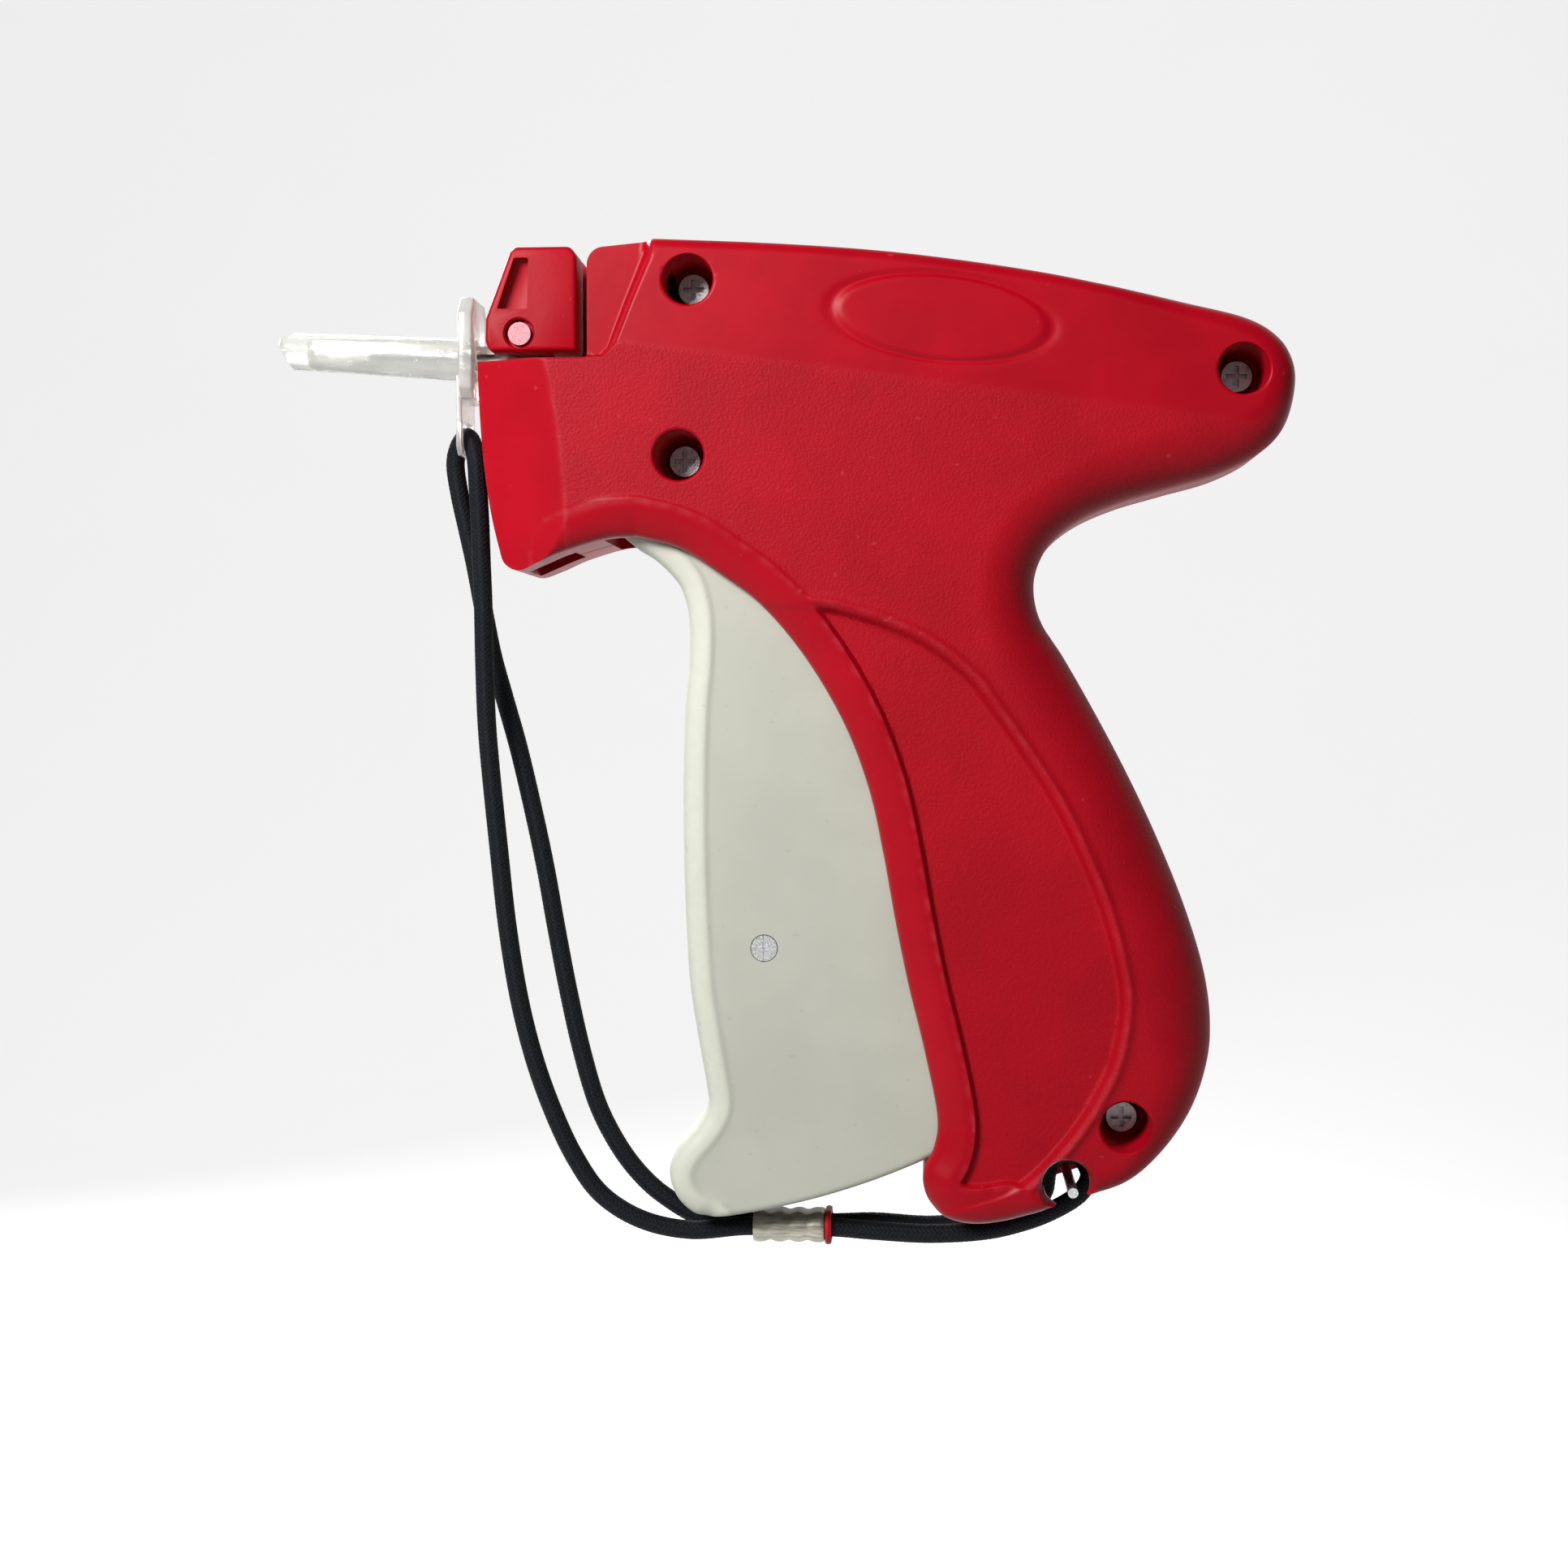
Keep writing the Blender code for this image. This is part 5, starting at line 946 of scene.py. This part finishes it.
class GUN_OT_stage(bpy.types.Operator):
    """Sets up the camera, the soft lights and the pale sweep under and behind the gun"""
    bl_idname = "gun.stage"
    bl_label = "Stage"

    def execute(self, context):
        look = context.scene.gun_stage
        scene = context.scene
        data = bpy.data.cameras.new("camera")
        data.sensor_fit, data.angle = "HORIZONTAL", math.radians(37.65)
        data.clip_start, data.clip_end = 0.01, 50.0
        camera = bpy.data.objects.new("camera", data)
        camera.location = (0.00239, -0.34, 0.02038)
        camera.rotation_euler = Vector((-0.0648, 0.9973, -0.0337)).to_track_quat("-Z", "Y").to_euler()
        scene.collection.objects.link(camera)
        scene.camera = camera
        turn = np.linspace(-math.pi / 2, 0.0, 25)
        floor = look.floor / MM
        sweep_radius = 500.0
        bend = np.stack([sweep_radius * (1 + np.cos(turn)), floor + sweep_radius * (1 + np.sin(turn))], axis=1)
        side = np.concatenate([[[-900.0, floor]], bend, [[1000.0, floor + 2200]]])
        across, along = np.linspace(-1800.0, 1800.0, 9), np.ones(9)
        grid = np.stack([across * np.ones((len(side), 1)), side[:, :1] * along, side[:, 1:] * along], axis=2)
        sweep = sheet_of("backdrop", grid, around=False)
        paper = Look("backdrop", Specular_IOR_Level=0.2)
        tone = paper.blend(paper.noise(60.0, 3.0), shaded(look.colour, 0.99), shaded(look.colour, 1.0))
        paper.set(paper.shader, {"Emission Strength": look.glow})
        sweep.data.materials.append(paper.finish(Base_Color=tone, Roughness=0.8 + paper.noise(9.0) * 0.1,
                                                 Emission_Color=tone))
        sweep.visible_diffuse = False
        sweep.data.shade_smooth()
        self.light("key", look.key, 0.16, (-0.22, -0.33, 0.21))
        self.light("far_key", look.key * 0.9, 0.16, (-0.22, 0.34, 0.21))
        self.light("fill", look.fill, 0.5, (0.1, -0.9, 0.5))
        world = bpy.data.worlds.new("surroundings")
        world.use_nodes = True
        world.node_tree.nodes["Background"].inputs["Color"].default_value = (1.0, 1.0, 1.0, 1.0)
        world.node_tree.nodes["Background"].inputs["Strength"].default_value = 0.13
        scene.world = world
        scene.view_settings.view_transform = "Standard"
        return {"FINISHED"}

    @staticmethod
    def light(name, power, breadth, place):
        data = bpy.data.lights.new(name, "AREA")
        data.shape, data.size, data.energy = "DISK", breadth, power
        light = bpy.data.objects.new(name, data)
        light.location = place
        light.rotation_euler = (-Vector(place)).to_track_quat("-Z", "Y").to_euler()
        bpy.context.scene.collection.objects.link(light)


class GUN_OT_cords(bpy.types.Operator):
    """Braids the two loops of the wrist cord and crimps the sleeve and band round their ends"""
    bl_idname = "gun.cords"
    bl_label = "Wrist Cord"

    def execute(self, context):
        look = context.scene.gun_cord
        diameter = look.diameter / MM
        cloth = black_cord(look.colour)
        crimp = sleeve("cord_sleeve", -24.1, -13.6, 3.75, 2.3, 0.4, (-21.6, -18.85, -16.1))
        place_piece(shade(crimp, 50), crimped_metal(look.sleeve), "casing", "cord_ferrule", slot="khaki_ferrule")
        band = sleeve("sleeve_band", -13.45, -12.55, 4.05, 2.6, 0.7, ())
        red = red_plastic("red_band", look.band, 0.00003 / MM, False)
        place_piece(shade(band, 50), red, "casing", "ferrule_ring", slot="red_abs")
        for name, route, node in (("wrist_loop", LOOP_FRONT, "cord_front_loop"),
                                  ("tether_loop", LOOP_REAR, "cord_rear_loop")):
            piece, path = braid(name, route, diameter, look.strands, look.lay / MM)
            piece.data.shade_smooth()
            piece.data.materials.append(cloth)
            if node == "cord_front_loop":
                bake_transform(piece)
            else:
                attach(piece, "casing")
            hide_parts(node)
        return {"FINISHED"}


class GUN_OT_casing(bpy.types.Operator):
    """Moulds the two halves of the casing"""
    bl_idname = "gun.casing"
    bl_label = "Casing"

    def execute(self, context):
        look = context.scene.gun_casing
        red = red_plastic("red_casing", look.colour, look.grain_depth / MM, True)
        plans = casing_plans()
        for side, node in ((-1, "left_shell"), (1, "right_shell")):
            place_piece(shell(side, plans), red, "casing", node, slot="red_abs")
        return {"FINISHED"}


class GUN_OT_trigger(bpy.types.Operator):
    """Moulds the long finger trigger with its rounded front and the trough behind it"""
    bl_idname = "gun.trigger"
    bl_label = "Trigger"

    def execute(self, context):
        look = context.scene.gun_trigger
        outline = trigger_outline()
        outer, inner = columns(outline, TRIGGER_SECTIONS, TRIGGER_SPINE)
        plan = rows_by_bend(outer, inner, lambda points: trigger_side(points, outline), 34)
        height = trigger_side(plan.reshape(-1, 2), outline).reshape(plan.shape[:2])
        front = nearest(plan.reshape(-1, 2), FRONT)[0].reshape(plan.shape[:2])
        reach = look.edge_radius / MM
        # Mask of the rounded front edge, where the material paints its highlight.
        painted_edge_light = 1.0 - ease(front, reach - 0.6, reach + 0.5)
        piece = two_sided("finger_trigger", plan, height, {"highlight_and_wear": painted_edge_light})
        radius = np.linspace(9.5, TOE_RADIUS - 1.8, 60)
        front_radius, front_angle = about_pivot(FRONT)
        rear_radius, rear_angle = about_pivot(RIM[::-1])
        low = np.interp(radius, front_radius, front_angle) + 2.6 / radius
        high = np.interp(radius, rear_radius, rear_angle) + 7.0 / radius
        trough = np.vstack([from_pivot(radius, low), from_pivot(radius, high)[::-1]])
        carve(piece, ("UNION", peg("hub", PIVOT, 4.2, -9.1, 9.1)),
              ("DIFFERENCE", plate("trough", trough, -7.4, 7.4)),
              ("DIFFERENCE", peg("hub_bore", PIVOT, 1.62, -10, 10)),
              ("DIFFERENCE", peg("pin_bore", DRIVE_PIN, 2.0, -10, 10)))
        place_piece(shade(piece, 40.0), cream_plastic(look.colour), "trigger", "trigger", slot="cream_abs")
        return {"FINISHED"}


class GUN_OT_lock(bpy.types.Operator):
    """Moulds the tipping block that locks the needle in"""
    bl_idname = "gun.lock"
    bl_label = "Needle Lock"

    def execute(self, context):
        look = context.scene.gun_casing
        red = red_plastic("red_lock", look.colour, 0.04, False)
        place_piece(lock_body(), red, "lock", "needle_lock", slot="red_abs")
        return {"FINISHED"}


class GUN_OT_guard(bpy.types.Operator):
    """Moulds the clear guard that slips over the needle"""
    bl_idname = "gun.guard"
    bl_label = "Needle Guard"

    def execute(self, context):
        look = context.scene.gun_guard
        clear = clear_plastic(look.colour, look.milkiness)
        place_piece(guard_body(), clear, "guard", "needle_guard", slot="clear_plastic")
        return {"FINISHED"}


class GUN_OT_fittings(bpy.types.Operator):
    """Gives the screws, pins, needle, lever, spring and inner mouldings their steel and acetal"""
    bl_idname = "gun.fittings"
    bl_label = "Steel and Acetal Fittings"

    def execute(self, context):
        look = context.scene.gun_fittings
        screws = [f"casing_screw_{number}" for number in (1, 2, 3, 4)]
        finishes = [
            # The screws are painted darker and more blotched: painted shade for the recesses they sit in.
            (steel("screw_steel", shaded(look.steel, 0.7), 0.25, grime_and_shade=0.9), screws),
            (steel("pin_steel", shaded(look.steel, 1.25), 0.18), ["trigger_pin", "lanyard_pin", "slide_pin"]),
            (steel("head_steel", (0.42, 0.2, 0.22), 0.4), ["needle_lock_pin"]),
            (steel("drawn_steel", look.steel, 0.22, (0.05, 1.0, 1.0)), ["needle", "pusher_rod"]),
            (steel("spring_steel", look.steel, 0.25), ["return_spring", "pawl_pin", "lever_fulcrum_pin",
                                                        "trigger_pivot_pin"]),
            (steel("pressed_steel", look.steel, 0.32), ["drive_lever", "feed_pawl", "cutter_blade"]),
            (acetal(look.acetal), ["pusher_slide", "clip_guide", "needle_hub", "needle_carrier"])]
        for finish, nodes in finishes:
            for node in nodes:
                slots = bpy.data.objects[node].material_slots
                if not slots:
                    raise RuntimeError(f"{node} has no material slot")
                for slot in slots:
                    slot.material = finish
        return {"FINISHED"}


STEPS = (GUN_OT_stage, GUN_OT_cords, GUN_OT_casing, GUN_OT_trigger, GUN_OT_lock, GUN_OT_guard, GUN_OT_fittings)
SETTINGS = {"gun_casing": CasingSettings, "gun_trigger": TriggerSettings, "gun_guard": GuardSettings,
            "gun_cord": CordSettings, "gun_fittings": FittingSettings, "gun_stage": StageSettings}


class GUN_PT_panel(bpy.types.Panel):
    """Lists the gun's settings and the operators that build it"""
    bl_idname = "GUN_PT_panel"
    bl_label = "Garment Tagging Gun"
    bl_space_type = "VIEW_3D"
    bl_region_type = "UI"
    bl_category = "Tagging Gun"

    def draw(self, context):
        for name, group in SETTINGS.items():
            box = self.layout.box()
            for key in group.__annotations__:
                box.prop(getattr(context.scene, name), key)
        for step in STEPS:
            self.layout.operator(step.bl_idname)


CLASSES = (*SETTINGS.values(), *STEPS, GUN_PT_panel)


def register():
    for made in CLASSES:
        bpy.utils.register_class(made)
    for name, group in SETTINGS.items():
        setattr(bpy.types.Scene, name, bpy.props.PointerProperty(type=group))


def unregister():
    for name in SETTINGS:
        delattr(bpy.types.Scene, name)
    for made in reversed(CLASSES):
        bpy.utils.unregister_class(made)


def main():
    register()
    for step in STEPS:
        group, name = step.bl_idname.split(".")
        getattr(getattr(bpy.ops, group), name)()


if __name__ == "__main__":
    main()
